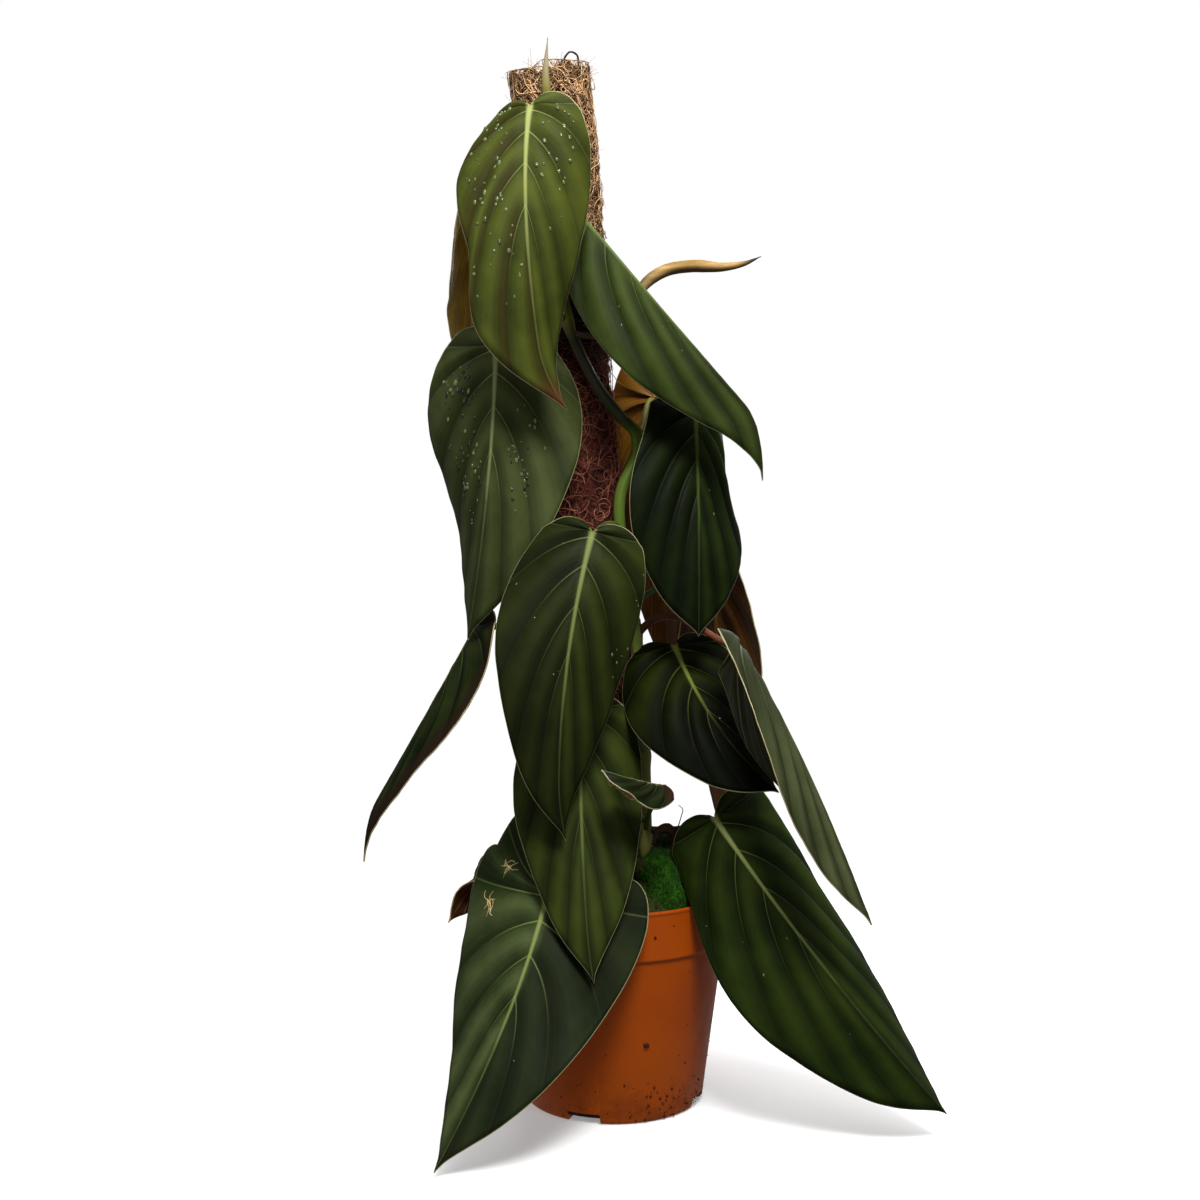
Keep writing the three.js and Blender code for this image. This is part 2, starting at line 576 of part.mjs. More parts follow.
// For each blade: the stalk joint, the middle and the tip of the midrib, the way the face looks
// at the joint and at the tip, the full width, and for each half its angle at the midrib and its
// bend from there to the edge, in degrees. Lobe lengthens the back of the heart shape, and so do
// shoulder on the right half and shoulderLeft on the left. Broad under 1 moves the widest place
// to the tip. FullLeft widens the left half near the tip. Hook bends the tip.
const LEAVES = [
  {
    name: 'leaf_top_front', colour: BRIGHT, stemHeight: 676,
    base: [-57, -74, 713], mid: [-58, -108, 622], tip: [-44, -92, 507], hook: [12, 0, 3],
    face: [-0.3, -1, 0.3], faceTip: [0.75, -1, 0.2], width: 96,
    left: [-6, -28], right: [-6, -34], lobe: 0.8, lobeDrop: 3, phase: 1, fullLeft: 0.6,
  },
  {
    name: 'leaf_left_wide', colour: OLIVE, stemHeight: 571, leave: [-0.6, -0.7, 0.6],
    base: [-82, -56, 554], mid: [-87, -73, 460], tip: [-103, -54, 349],
    face: [-0.1, -1, 0.25], faceTip: [-1, -1, 0.1], width: 128,
    left: [-16, -16], right: [-26, -14], lobe: 1.2, lobeDrop: 5,
  },
  {
    name: 'leaf_right_upper', colour: OLIVE, stemHeight: 640, leave: [0.7, -0.9, 0.5],
    base: [-20, -52, 640.5], mid: [46, -80, 562], tip: [115, -82, 484],
    face: [0.7, -0.5, 0.6], width: 96, left: [-50, -16], right: [-50, -16], lobe: 0.3, broad: 0.7,
    hook: [-14, 0, -22],
  },
  {
    name: 'leaf_left_back', colour: OLIVE, stemHeight: 655, leave: [-0.9, -0.2, 0.4],
    base: [-92, -24, 663], mid: [-103, 6, 594], tip: [-101, 10, 508],
    face: [-1, 0.35, 0.2], width: 86, left: [8, -20], right: [8, -20],
  },
  {
    name: 'leaf_right_middle', colour: DARK, stemHeight: 490, leave: [0.8, -0.5, 0.4],
    base: [57, -34, 508], mid: [58, -68, 435], tip: [58, -78, 354.5],
    face: [0.6, -1, 0.3], faceTip: [0.1, -1, 0.3], width: 98,
    left: [-4, -10], right: [-14, -40], lobe: 0.8, broad: 0.62,
  },
  {
    name: 'leaf_right_back', colour: OLIVE, stemHeight: 474, leave: [0.3, 0.7, 1], petioleRadius: 2.6,
    base: [30, 16, 518], mid: [36, 30, 427], tip: [43, 34, 299],
    face: [0.3, 1, 0.2], width: 92, left: [-35, -10], right: [4, -6], lobe: 1.7, broad: 1.1,
  },
  {
    name: 'leaf_centre', colour: OLIVE, stemHeight: 412,
    base: [-15, -92, 428], mid: [-34, -124, 325], tip: [-37, -112, 219], hook: [4, 0, 0],
    face: [-0.1, -1, 0.3], faceTip: [0.5, -1, 0.2], width: 104,
    left: [-4, -24], right: [-18, -24], lobe: 0.6, lobeDrop: 3,
  },
  {
    name: 'leaf_right_outer', colour: OLIVE, stemHeight: 348, leave: [0.7, -0.1, 1],
    base: [85, -84, 351], mid: [126, -128, 277], tip: [172, -140, 168],
    face: [1, 0.4, 0.5], faceTip: [1, -0.5, 0.4], width: 84,
    left: [-20, -20], right: [-30, -20], lobe: 0.2, broad: 0.62,
  },
  {
    name: 'leaf_right_inner', colour: DARK, stemHeight: 300, leave: [0.7, -0.3, 0.7],
    base: [43, -36, 342], mid: [72, -84, 292], tip: [113, -96, 249],
    face: [0.05, -0.6, 0.8], width: 104, left: [-5, -30], right: [-5, -30],
  },
  {
    name: 'leaf_back_right', colour: OLIVE, stemHeight: 372, leave: [0.7, 0.5, 0.3],
    base: [73, 22, 394], mid: [82, 44, 290], tip: [88, 42, 172],
    face: [0.7, 0.7, 0.1], width: 84, left: [6, -20], right: [6, -20],
  },
  {
    name: 'leaf_lower_centre', colour: OLIVE, stemHeight: 262,
    base: [-24, -68, 304], mid: [-22, -104, 212], tip: [-16, -128, 126], hook: [2, 0, -2],
    face: [0, -1, 0.25], width: 96, left: [-4, -20], right: [-14, -18], lobe: 0.6,
  },
  {
    name: 'leaf_front_left', colour: OLIVE, stemHeight: 214, leave: [-0.5, -0.7, 0.7],
    base: [-46, -94, 178], mid: [-76, -134, 94], tip: [-121, -163, 5],
    face: [0.15, -1, 0.4], faceTip: [-0.35, -1, 0.3], width: 146,
    left: [-30, -30], right: [4, -12], lobe: 3, shoulder: 0.13, shoulderLeft: 0.17, broad: 1.4,
  },
  {
    name: 'leaf_lower_right', colour: OLIVE, stemHeight: 208, leave: [1, 0.1, -0.1], arrive: 3,
    base: [70, -77, 226.5], mid: [144, -104, 128.5], tip: [232, -98, 21],
    face: [-0.35, -1, 0.6], faceTip: [0.7, -1, 0.5], width: 134,
    left: [-28, -8], right: [-26, -36], lobe: 0.6, broad: 0.62,
  },
  {
    name: 'leaf_left_outer', colour: DARK, stemHeight: 356, leave: [-0.6, -0.7, 0.3],
    base: [-99, -34, 355.5], mid: [-140, -58, 283], tip: [-185, -62, 206], hook: [8, 0, -14],
    face: [-1, -0.2, 0.4], width: 78, left: [-24, -10], right: [-20, -8],
  },
  {
    name: 'leaf_small_folded', colour: OLIVE, stemHeight: 206, leave: [0, -0.6, 0.8], petioleRadius: 1.6,
    base: [32, -96, 254], mid: [12, -114, 262], tip: [-9, -122, 270],
    face: [0.1, -0.7, 0.8], width: 42, left: [-75, -10], right: [0, -10],
    lines: 7, columns: [0, 0.15, 0.6, 1],
  },
  {
    name: 'leaf_small_left', colour: BRIGHT, stemHeight: 205, leave: [-0.7, -0.5, 0.5], petioleRadius: 1.7,
    base: [-86, -12, 182], mid: [-102, -20, 168], tip: [-120, -34, 140],
    face: [-0.4, -0.5, 0.8], faceTip: [-0.5, 0.8, 0.2], width: 56, left: [-10, -20], right: [-10, -20],
    lines: 7, columns: [0, 0.15, 0.6, 1],
  },
];

const group = new THREE.Group();

function add(name, geometry, colour, roughness) {
  const material = new THREE.MeshStandardMaterial({ color: colour, roughness, metalness: 0 });
  const mesh = new THREE.Mesh(geometry, material);
  mesh.name = name;
  group.add(mesh);
}

add('pot', potGeometry(), '#96512c', 0.45);
add('potting_soil', soilGeometry(), '#2a1d14', 1);
add('moss_bed', mossGeometry(), '#27351a', 1);
add('moss_cushion', cushionGeometry(), '#3f7a1c', 1);
add('coir_sleeve', sleeveGeometry(), '#6b4a2c', 1);
add('pole_core', poleRod(POLE_CORE_RADIUS, POLE_CORE_FOOT, POLE_CORE_TOP), '#8a7a62', 0.8);
add('wire_tie', tube(wireCurve, () => WIRE_RADIUS, WIRE_SIDES, WIRE_STEPS), '#3a3a38', 0.5);
add('stem', stemGeometry, '#5d7030', 0.5);
add('growing_tip', growingTipGeometry(), '#8c8440', 0.7);
add('leaf_rolled', rolledGeometry(), '#8a6238', 0.6);
for (const spec of LEAVES) add(spec.name, leafGeometry(spec), spec.colour, 0.6);

export default group;
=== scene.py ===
import bmesh
import bpy
from math import acos, atan2, cos, floor, hypot, pi, radians, sin, sqrt
import numpy as np
from numpy.linalg import norm
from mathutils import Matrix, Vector


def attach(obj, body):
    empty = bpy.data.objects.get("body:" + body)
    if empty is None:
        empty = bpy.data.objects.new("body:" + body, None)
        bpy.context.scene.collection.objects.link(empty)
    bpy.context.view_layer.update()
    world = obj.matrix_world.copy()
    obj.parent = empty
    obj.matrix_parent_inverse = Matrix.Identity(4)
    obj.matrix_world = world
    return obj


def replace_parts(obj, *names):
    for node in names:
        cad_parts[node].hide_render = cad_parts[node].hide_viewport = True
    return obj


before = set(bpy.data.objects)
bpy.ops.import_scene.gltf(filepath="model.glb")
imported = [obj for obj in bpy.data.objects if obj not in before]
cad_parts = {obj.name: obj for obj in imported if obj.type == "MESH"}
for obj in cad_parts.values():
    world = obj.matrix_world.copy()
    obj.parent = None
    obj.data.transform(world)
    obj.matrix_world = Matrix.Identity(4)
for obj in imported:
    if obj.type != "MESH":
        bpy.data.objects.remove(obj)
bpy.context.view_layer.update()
MM = 0.001


def rgb(r, g, b):
    """Linear colour from an everyday 0-255 colour."""
    def linear(c):
        c /= 255
        return c / 12.92 if c <= 0.04045 else ((c + 0.055) / 1.055) ** 2.4
    return (linear(r), linear(g), linear(b), 1.0)


def smooth(x):
    x = np.clip(x, 0, 1)
    return x * x * (3 - 2 * x)


def unit(v):
    return v / norm(v)


# Materials
class Mat:
    """A node material built with short calls."""

    def __init__(self, name):
        self.mat = bpy.data.materials.new(name)
        self.mat.use_nodes = True
        self.tree = self.mat.node_tree
        self.tree.nodes.clear()
        self.shader = self.node("BsdfPrincipled")
        self.link(self.shader.outputs[0], self.node("OutputMaterial").inputs[0])
        self.place = self.node("TexCoord").outputs["Object"]

    def node(self, kind, **values):
        n = self.tree.nodes.new("ShaderNode" + kind)
        for key, value in values.items():
            setattr(n, key, value)
        return n

    def link(self, a, b):
        self.tree.links.new(a, b)

    def put(self, socket, value):
        if hasattr(value, "is_output"):
            self.link(value, socket)
        else:
            socket.default_value = value

    def axes(self, source=None):
        """The three parts of a mesh attribute, of a socket or of the place on the object."""
        if isinstance(source, str):
            n = self.node("Attribute", attribute_name=source, attribute_type="GEOMETRY")
            source = n.outputs["Vector"]
        n = self.node("SeparateXYZ")
        self.link(source or self.place, n.inputs[0])
        return list(n.outputs)

    def math(self, op, a, b=0.0, c=0.0):
        n = self.node("Math", operation=op)
        for i, v in enumerate((a, b, c)):
            self.put(n.inputs[i], v)
        return n.outputs[0]

    def times(self, a, b):
        return self.math("MULTIPLY", a, b)

    def plus(self, a, b):
        return self.math("ADD", a, b)

    def range(self, value, a, b, c=0.0, d=1.0, kind="SMOOTHSTEP"):
        """Goes from c to d while the value goes from a to b."""
        n = self.node("MapRange", interpolation_type=kind)
        self.put(n.inputs["Value"], value)
        for name, v in (("From Min", a), ("From Max", b), ("To Min", c), ("To Max", d)):
            n.inputs[name].default_value = v
        return n.outputs[0]

    def fall(self, value, a, b):
        return self.range(value, a, b, 1.0, 0.0)

    def noise(self, scale, detail=3, rough=0.55, stretch=None):
        n = self.node("TexNoise")
        n.inputs["Scale"].default_value = scale
        n.inputs["Detail"].default_value = detail
        n.inputs["Roughness"].default_value = rough
        source = self.place
        if stretch:
            m = self.node("Mapping")
            m.inputs["Scale"].default_value = stretch
            self.link(source, m.inputs[0])
            source = m.outputs[0]
        self.link(source, n.inputs["Vector"])
        return n.outputs[0]

    def mix(self, share, a, b):
        n = self.node("Mix", data_type="RGBA", blend_type="MIX")
        self.put(n.inputs[0], share)
        self.put(n.inputs[6], a)
        self.put(n.inputs[7], b)
        return n.outputs[2]

    def over(self, colour, where, tint, share=None):
        """Lays an everyday colour over a colour, all of it or a share."""
        return self.mix(where if share is None else self.times(where, share), colour, rgb(*tint))

    def bump(self, height, strength, distance):
        n = self.node("Bump")
        n.inputs["Strength"].default_value = strength
        n.inputs["Distance"].default_value = distance
        self.put(n.inputs["Height"], height)
        return n.outputs[0]

    def finish(self, colour, rough, normal, **more):
        s = self.shader.inputs
        self.put(s["Base Color"], colour)
        self.put(s["Roughness"], rough)
        self.link(normal, s["Normal"])
        s["Specular IOR Level"].default_value = SPECULAR
        for name, value in more.items():
            s[name.replace("_", " ")].default_value = value
        return self.mat


SPECULAR = 0.12
VELVET_ROUGHNESS = 0.58
BLUE_SHARE = 0.85
UPPER_LOOK = dict(margin=(160, 156, 116), gloss=0.06, rib_fade=0.2, rib_end=0.8, fold_shade=0.58)


def dimmed(colour, share):
    return [share * c for c in colour]


def upper_material(name, look):
    """The velvety upper face: painted sheen on the crests, painted shade in the folds and beside the veins,
    shaded halves, veins, midrib and margin.
    """
    look = {**UPPER_LOOK, **look}
    m = Mat(name)
    deep, light = ((r, g, BLUE_SHARE * b) for r, g, b in (look["deep"], look["light"]))
    line, signed, share = m.axes("vein")
    gap, rib, edge = m.axes("mm")
    out = m.math("ABSOLUTE", signed)
    off = m.math("PINGPONG", line, 0.5)
    vein_mm = m.times(off, gap)
    patch, fine = m.noise(24, 3), m.noise(600, 3)
    threads = m.math("PINGPONG", m.times(line, 6.0), 0.5)
    # Painted sheen: the crests between the veins are lighter, mixed with the leaf's own patchy tone.
    tone_with_crest_sheen = m.plus(m.times(m.times(off, 2.0), 0.28), m.times(patch, 0.76))
    tone_with_crest_sheen = m.plus(tone_with_crest_sheen, m.times(fine, 0.12))
    colour = m.mix(m.range(tone_with_crest_sheen, 0.3, 0.95), rgb(*deep), rgb(*light))
    # Painted shade in each fold between veins, darkest just before the next vein and away from the midrib.
    fold = m.times(m.range(m.math("FRACT", line), 0.3, 0.97), m.range(out, 0.03, 0.25))
    # With a fold shade tint, the painted fold shade is brown-olive and mostly on the left half; otherwise it
    # is a dark leaf green.
    if "fold_shade_tint" in look:
        fold = m.times(fold, m.math("MULTIPLY_ADD", m.fall(signed, -0.03, 0.0), 0.8, 0.2))
        colour = m.over(colour, fold, look["fold_shade_tint"], 0.8)
    else:
        colour = m.over(colour, fold, dimmed(deep, 0.45), look["fold_shade"])
    if "head" in look:
        colour = m.over(colour, m.range(share, 0.15, 0.6, look["head"], 0.0), dimmed(deep, 0.6))
    colour = m.over(colour, m.fall(threads, 0.0, 0.3), light, 0.07)
    if "shade_right" in look:
        half = m.range(signed, 0.0, 0.12)
        colour = m.over(colour, half, dimmed(deep, 0.4), look["shade_right"])
    if "shade_left" in look:
        half = m.fall(signed, -0.12, 0.0)
        colour = m.over(colour, half, dimmed(deep, 0.4), look["shade_left"])
    if "black" in look:
        colour = m.over(colour, m.range(share, *look["black"], 0.0, 0.85), (2, 3, 1))
    # Painted shade in the creases beside the veins.
    crease_shade = m.times(m.range(vein_mm, 0.5, 2.4, 0.22, 0.0), m.range(out, 0.02, 0.2))
    colour = m.over(colour, crease_shade, dimmed(deep, 0.35))
    fade = m.plus(m.range(out, 0.0, 0.75, 0.8, 0.05), m.range(share, 0.0, 0.35, 0.35, 0.0))
    pale = [0.5 * a + 0.5 * b for a, b in zip(light, look["vein"])]
    colour = m.over(colour, m.fall(vein_mm, 0.0, 1.1), pale, fade)
    along = m.range(share, 0.0, look["rib_end"], 0.95, look["rib_fade"])
    colour = m.over(colour, m.fall(rib, 0.3, 1.4), look["vein"], along)
    if "tip" in look:
        colour = m.over(colour, m.range(share, 0.88, 1.0), look["tip"], 0.85)
    if "rolled" in look:
        colour = m.over(colour, m.range(signed, 0.78, 0.92, 0.0, 0.85), look["rolled"])
    if "heel" in look:
        colour = m.over(colour, m.range(share, 0.02, 0.14, 0.9, 0.0), look["heel"])
    colour = m.over(colour, m.range(edge, 0.25, 1.0, 0.85, 0.0), look["margin"])
    normal = m.bump(m.plus(m.times(fine, 0.5), m.times(threads, 0.45)), 0.3, 0.0006)
    rough = m.range(patch, 0.3, 0.7, VELVET_ROUGHNESS - 0.05, VELVET_ROUGHNESS + 0.08)
    return m.finish(colour, rough, normal, Specular_IOR_Level=look["gloss"])


def under_material(name, base, warm, vein):
    """The duller lower face, with raised veins."""
    m = Mat(name)
    line = m.axes("vein")[0]
    gap, rib, edge = m.axes("mm")
    vein_mm = m.times(m.math("PINGPONG", line, 0.5), gap)
    threads = m.math("PINGPONG", m.times(line, 5.0), 0.5)
    colour = m.mix(m.range(m.noise(22, 3), 0.35, 0.68), rgb(*base), rgb(*warm))
    colour = m.over(colour, m.fall(threads, 0.0, 0.2), vein, 0.25)
    veins = m.math("MAXIMUM", m.range(vein_mm, 0.25, 1.1, 0.85, 0.0), m.fall(rib, 0.8, 1.6))
    colour = m.over(colour, veins, vein)
    colour = m.over(colour, m.range(edge, 0.2, 0.9, 0.7, 0.0), (170, 150, 100))
    normal = m.bump(m.plus(threads, m.noise(300, 2)), 0.3, 0.0005)
    return m.finish(colour, 0.5, normal, Specular_IOR_Level=0.2)


def plain_material(name, a, b, scale, rough, bump=0.3, depth=0.0006, fine=300, stretch=None, **more):
    """Two colours in soft patches."""
    m = Mat(name)
    colour = m.mix(m.range(m.noise(scale, 4, stretch=stretch), 0.35, 0.68), rgb(*a), rgb(*b))
    normal = m.bump(m.noise(fine, 4, stretch=stretch), bump, depth)
    sheen = m.range(m.noise(fine / 3, 2), 0.3, 0.7, rough - 0.06, rough + 0.06)
    return m.finish(colour, sheen, normal, **more)


def tuft_material(name, dark, pale, rough, patches=None, grain=(600, 2), bump=(0.2, 0.0005), **more):
    """Dark to pale by each tuft's own tint; patches are a scale, a range, a share and a colour."""
    m = Mat(name)
    colour = m.mix(m.axes("tint")[0], rgb(*dark), rgb(*pale))
    if patches:
        scale, low, high, share, patch = patches
        where = m.range(m.noise(scale, 3), low, high)
        colour = m.over(colour, where, patch, share)
    return m.finish(colour, rough, m.bump(m.noise(*grain), *bump), **more)


def moss_material(name, scale, dark, pale, grain, patches=None):
    """The rough ground under the tufts, with patches of another colour where one is given."""
    m = Mat(name)
    colour = m.mix(m.range(m.noise(scale, 4, 0.65), 0.35, 0.65), rgb(*dark), rgb(*pale))
    if patches:
        colour = m.over(colour, m.range(m.noise(30, 3), 0.5, 0.7), patches)
    return m.finish(colour, 0.95, m.bump(m.noise(grain, 4, 0.7), 1.0, 0.003))


def pot_material():
    m = Mat("terracotta_plastic_moulded")
    z = m.axes()[2]
    colour = m.mix(m.range(m.noise(9, 3), 0.35, 0.7), rgb(150, 62, 3), rgb(160, 70, 6))
    low = m.times(m.fall(z, 0.0, 0.05), m.range(m.noise(45, 5, 0.7), 0.42, 0.66))
    colour = m.over(colour, low, (86, 38, 16), 0.5)
    dust = m.range(m.noise(150, 4, 0.7), 0.6, 0.75)
    colour = m.over(colour, dust, (96, 44, 20), 0.25)
    rough = m.range(m.noise(60, 3), 0.3, 0.7, 0.34, 0.46)
    return m.finish(colour, rough, m.bump(m.noise(700, 2), 0.06, 0.0003))


def coir_colour(m, share, low, high, shade, shadow):
    """Dark red coir below, darker partly as damp coir and partly as painted shade; golden coir above; and a
    stretch of painted shade where they meet.
    """
    z = m.axes()[2]
    level = m.plus(z, m.times(m.noise(26, 3), 0.07))
    low, high = (m.mix(share, rgb(*dark), rgb(*pale)) for dark, pale in (low, high))
    colour = m.mix(m.range(level, 0.56, 0.66), low, high)
    # Painted shade: a darker band where the coir lies in the shadow of the leaves.
    meeting = m.times(m.range(z, 0.53, 0.56), m.fall(z, 0.605, 0.64))
    return m.over(colour, meeting, shadow, shade)


def fibre_material():
    m = Mat("coir_fibre")
    # The lower colours are darker, partly damp coir and partly painted shade; the last two arguments give
    # the painted shade band.
    low, high = ((84, 36, 24), (190, 122, 96)), ((76, 46, 24), (226, 184, 134))
    colour = coir_colour(m, m.axes("tint")[0], low, high, 0.75, (24, 12, 8))
    return m.finish(colour, 0.85, m.bump(m.noise(900, 2), 0.3, 0.0003), Specular_IOR_Level=0.25)


def sleeve_material():
    m = Mat("coir_mat")
    strands = m.range(m.noise(200, 5, 0.7), 0.38, 0.62)
    # The lower colours are darker, partly damp coir and partly painted shade; the last two arguments give
    # the painted shade band.
    low, high = ((30, 11, 7), (96, 44, 30)), ((40, 24, 12), (112, 76, 44))
    colour = coir_colour(m, strands, low, high, 0.8, (10, 5, 4))
    return m.finish(colour, 0.95, m.bump(m.noise(420, 5, 0.7), 1.0, 0.003), Specular_IOR_Level=0.2)


STEM_COLOURS = [
    (0.0, (92, 78, 44)), (0.12, (116, 118, 52)), (0.3, (120, 130, 56)), (0.46, (106, 138, 52)),
    (0.57, (88, 112, 38)), (0.61, (84, 110, 28)), (0.64, (30, 44, 14)), (0.74, (18, 28, 9)),
    (0.77, (112, 112, 40)), (0.8, (40, 48, 16)), (0.9, (84, 96, 40)), (1.0, (138, 132, 62)),
]


def stem_material():
    m = Mat("green_stem_skin")
    ramp = m.node("ValToRGB")
    m.link(m.range(m.axes()[2], 0.15, 0.7, kind="LINEAR"), ramp.inputs[0])
    stops = ramp.color_ramp.elements
    while len(stops) < len(STEM_COLOURS):
        stops.new(0.5)
    for stop, (at, colour) in zip(stops, STEM_COLOURS):
        stop.position = at
        stop.color = rgb(*colour)
    streak = m.range(m.noise(60, 4, stretch=(1, 1, 0.12)), 0.4, 0.7)
    colour = m.over(ramp.outputs[0], streak, (74, 62, 36), 0.4)
    normal = m.bump(m.noise(160, 3, stretch=(1, 1, 0.15)), 0.3, 0.0006)
    return m.finish(colour, 0.42, normal, Specular_IOR_Level=0.25)


# Meshes
def new_object(name, data):
    ob = bpy.data.objects.new(name, data)
    bpy.context.scene.collection.objects.link(ob)
    return ob


def make(name, verts, faces, mats, slot=None, scale=MM, face_mats=None, attrs=None):
    """A smooth mesh, in millimetres where no scale is given, that belongs to the plant if it has a slot."""
    mesh = bpy.data.meshes.new(name)
    mesh.from_pydata((np.asarray(verts, float) * scale).tolist(), [], faces)
    for mat in mats:
        mesh.materials.append(mat)
    if face_mats is not None:
        mesh.polygons.foreach_set("material_index", np.asarray(face_mats, np.int32))
    for key, values in (attrs or {}).items():
        layer = mesh.attributes.new(key, "FLOAT_VECTOR", "POINT")
        layer.data.foreach_set("vector", np.asarray(values, np.float32).ravel())
    mesh.polygons.foreach_set("use_smooth", [True] * len(mesh.polygons))
    mesh.validate()
    mesh.update()
    ob = new_object(name, mesh)
    if slot:
        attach(ob, "root")
    return ob


def dress(node, verts, faces, mat, slot):
    """A finer piece in the place of a node of the frame."""
    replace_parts(make(node + "_fine", verts, faces, [mat], slot), node)


def hermite(p1, p2, t1, t2, w):
    """A point between two points, each with its direction."""
    square, cube = -3 * p1 + 3 * p2 - 2 * t1 - t2, 2 * p1 - 2 * p2 + t1 + t2
    return p1 + t1 * w + square * w ** 2 + cube * w ** 3


def lengths(points):
    """How far along a line each of its points lies."""
    return np.concatenate([[0], np.cumsum(norm(np.diff(points, axis=0), axis=1))])


def centripetal(points, count):
    """Centripetal Catmull-Rom curve through the points, evenly spaced by length."""
    p = np.asarray(points, float)
    n = len(p)

    def at(t):
        x = (n - 1) * t
        i = min(floor(x), n - 2)
        w = x - i
        p1, p2 = p[i], p[i + 1]
        p0 = p[i - 1] if i > 0 else 2 * p[0] - p[1]
        p3 = p[i + 2] if i + 2 < n else 2 * p[-1] - p[-2]
        d0, d1, d2 = (max(norm(b - a) ** 0.5, 1e-4) for a, b in ((p0, p1), (p1, p2), (p2, p3)))
        t1 = ((p1 - p0) / d0 - (p2 - p0) / (d0 + d1) + (p2 - p1) / d1) * d1
        t2 = ((p2 - p1) / d1 - (p3 - p1) / (d1 + d2) + (p3 - p2) / d2) * d1
        return hermite(p1, p2, t1, t2, w)

    dense = np.array([at(t) for t in np.linspace(0, 1, 400)])
    length = lengths(dense)
    want = np.linspace(0, length[-1], count)
    return np.stack([np.interp(want, length, dense[:, k]) for k in range(3)], 1)


def sides_along(path):
    """Two steady side directions along a path."""
    tangents = np.gradient(path, axis=0)
    tangents /= norm(tangents, axis=1)[:, None]
    side = np.cross(tangents[0], [0.3, 0.2, 1.0] if abs(tangents[0][2]) < 0.9 else [1.0, 0.2, 0.0])
    sides = []
    for t in tangents:
        side = unit(side - t * np.dot(side, t))
        sides.append(side)
    return np.array(sides), np.cross(tangents, sides)


def ring_faces(rings, sides, base=0, inward=False):
    """Quads between rings of vertices that follow one another."""
    faces = []
    for i in range(rings - 1):
        for j in range(sides):
            a = base + i * sides + j
            b = base + i * sides + (j + 1) % sides
            faces.append((a, a + sides, b + sides, b) if inward else (a, b, b + sides, a + sides))
    return faces


def end_caps(rings, sides, base=0):
    """The faces that close the first and the last ring."""
    last = base + (rings - 1) * sides
    return [tuple(reversed(range(base, base + sides))), tuple(range(last, last + sides))]


def tube(path, radius, sides, profile=None, base=0):
    """Vertices and faces of a tube; profile scales the radius by angle and place."""
    path = np.asarray(path, float)
    rings = len(path)
    a, b = (axis[:, None] for axis in sides_along(path))
    angle = 2 * pi * np.arange(sides) / sides
    r = np.broadcast_to(np.asarray(radius, float), (rings,))[:, None] * np.ones((1, sides))
    if profile is not None:
        r = r * profile(angle[None, :], np.linspace(0, 1, rings)[:, None])
    round_ = a * np.cos(angle)[None, :, None] + b * np.sin(angle)[None, :, None]
    verts = path[:, None] + r[..., None] * round_
    return verts.reshape(-1, 3), ring_faces(rings, sides, base) + end_caps(rings, sides, base)


class Bag:
    """Collects small shapes with a tint each into one mesh."""

    def __init__(self):
        self.verts, self.faces, self.tints, self.count = [], [], [], 0

    def add(self, verts, faces, tint=0.5):
        self.faces += [tuple(i + self.count for i in face) for face in faces]
        self.verts.append(np.asarray(verts, float))
        self.tints.append(np.full(len(verts), tint))
        self.count += len(verts)

    def make(self, name, mat, slot):
        tints = np.repeat(np.concatenate(self.tints)[:, None], 3, axis=1)
        make(name, np.concatenate(self.verts), self.faces, [mat], slot, attrs={"tint": tints})


# Camera, light and floor
def camera():
    data = bpy.data.cameras.new("camera")
    data.lens = 60
    data.sensor_width = 36
    data.clip_end = 50
    cam = new_object("camera", data)
    cam.location = (-0.010, -1.445, 0.535)
    cam.rotation_euler = (pi / 2 - 0.113, 0, 0)
    bpy.context.scene.camera = cam


def area_light(name, place, size, power, height=0.35):
    """A soft light that looks at the plant's middle at a height."""
    data = bpy.data.lights.new(name, "AREA")
    data.size = size
    data.energy = power
    ob = new_object(name, data)
    ob.location = place
    ob.rotation_euler = (Vector((0, 0, height)) - Vector(place)).to_track_quat("-Z", "Y").to_euler()


def studio_world():
    """Pure white behind the object, and a dimmer even light all round it."""
    world = bpy.data.worlds.new("studio")
    bpy.context.scene.world = world
    world.use_nodes = True
    tree = world.node_tree
    around, seen = tree.nodes["Background"], tree.nodes.new("ShaderNodeBackground")
    for background, strength in ((around, 0.3), (seen, 1.0)):
        background.inputs[0].default_value = (1, 1, 1, 1)
        background.inputs[1].default_value = strength
    mixer = tree.nodes.new("ShaderNodeMixShader")
    rays = tree.nodes.new("ShaderNodeLightPath")
    tree.links.new(rays.outputs["Is Camera Ray"], mixer.inputs[0])
    tree.links.new(around.outputs[0], mixer.inputs[1])
    tree.links.new(seen.outputs[0], mixer.inputs[2])
    tree.links.new(mixer.outputs[0], tree.nodes["World Output"].inputs[0])


FLOOR_GLOW = 0.25
FLOOR_RADIUS_M = 30
FLOOR_SIDES = 48


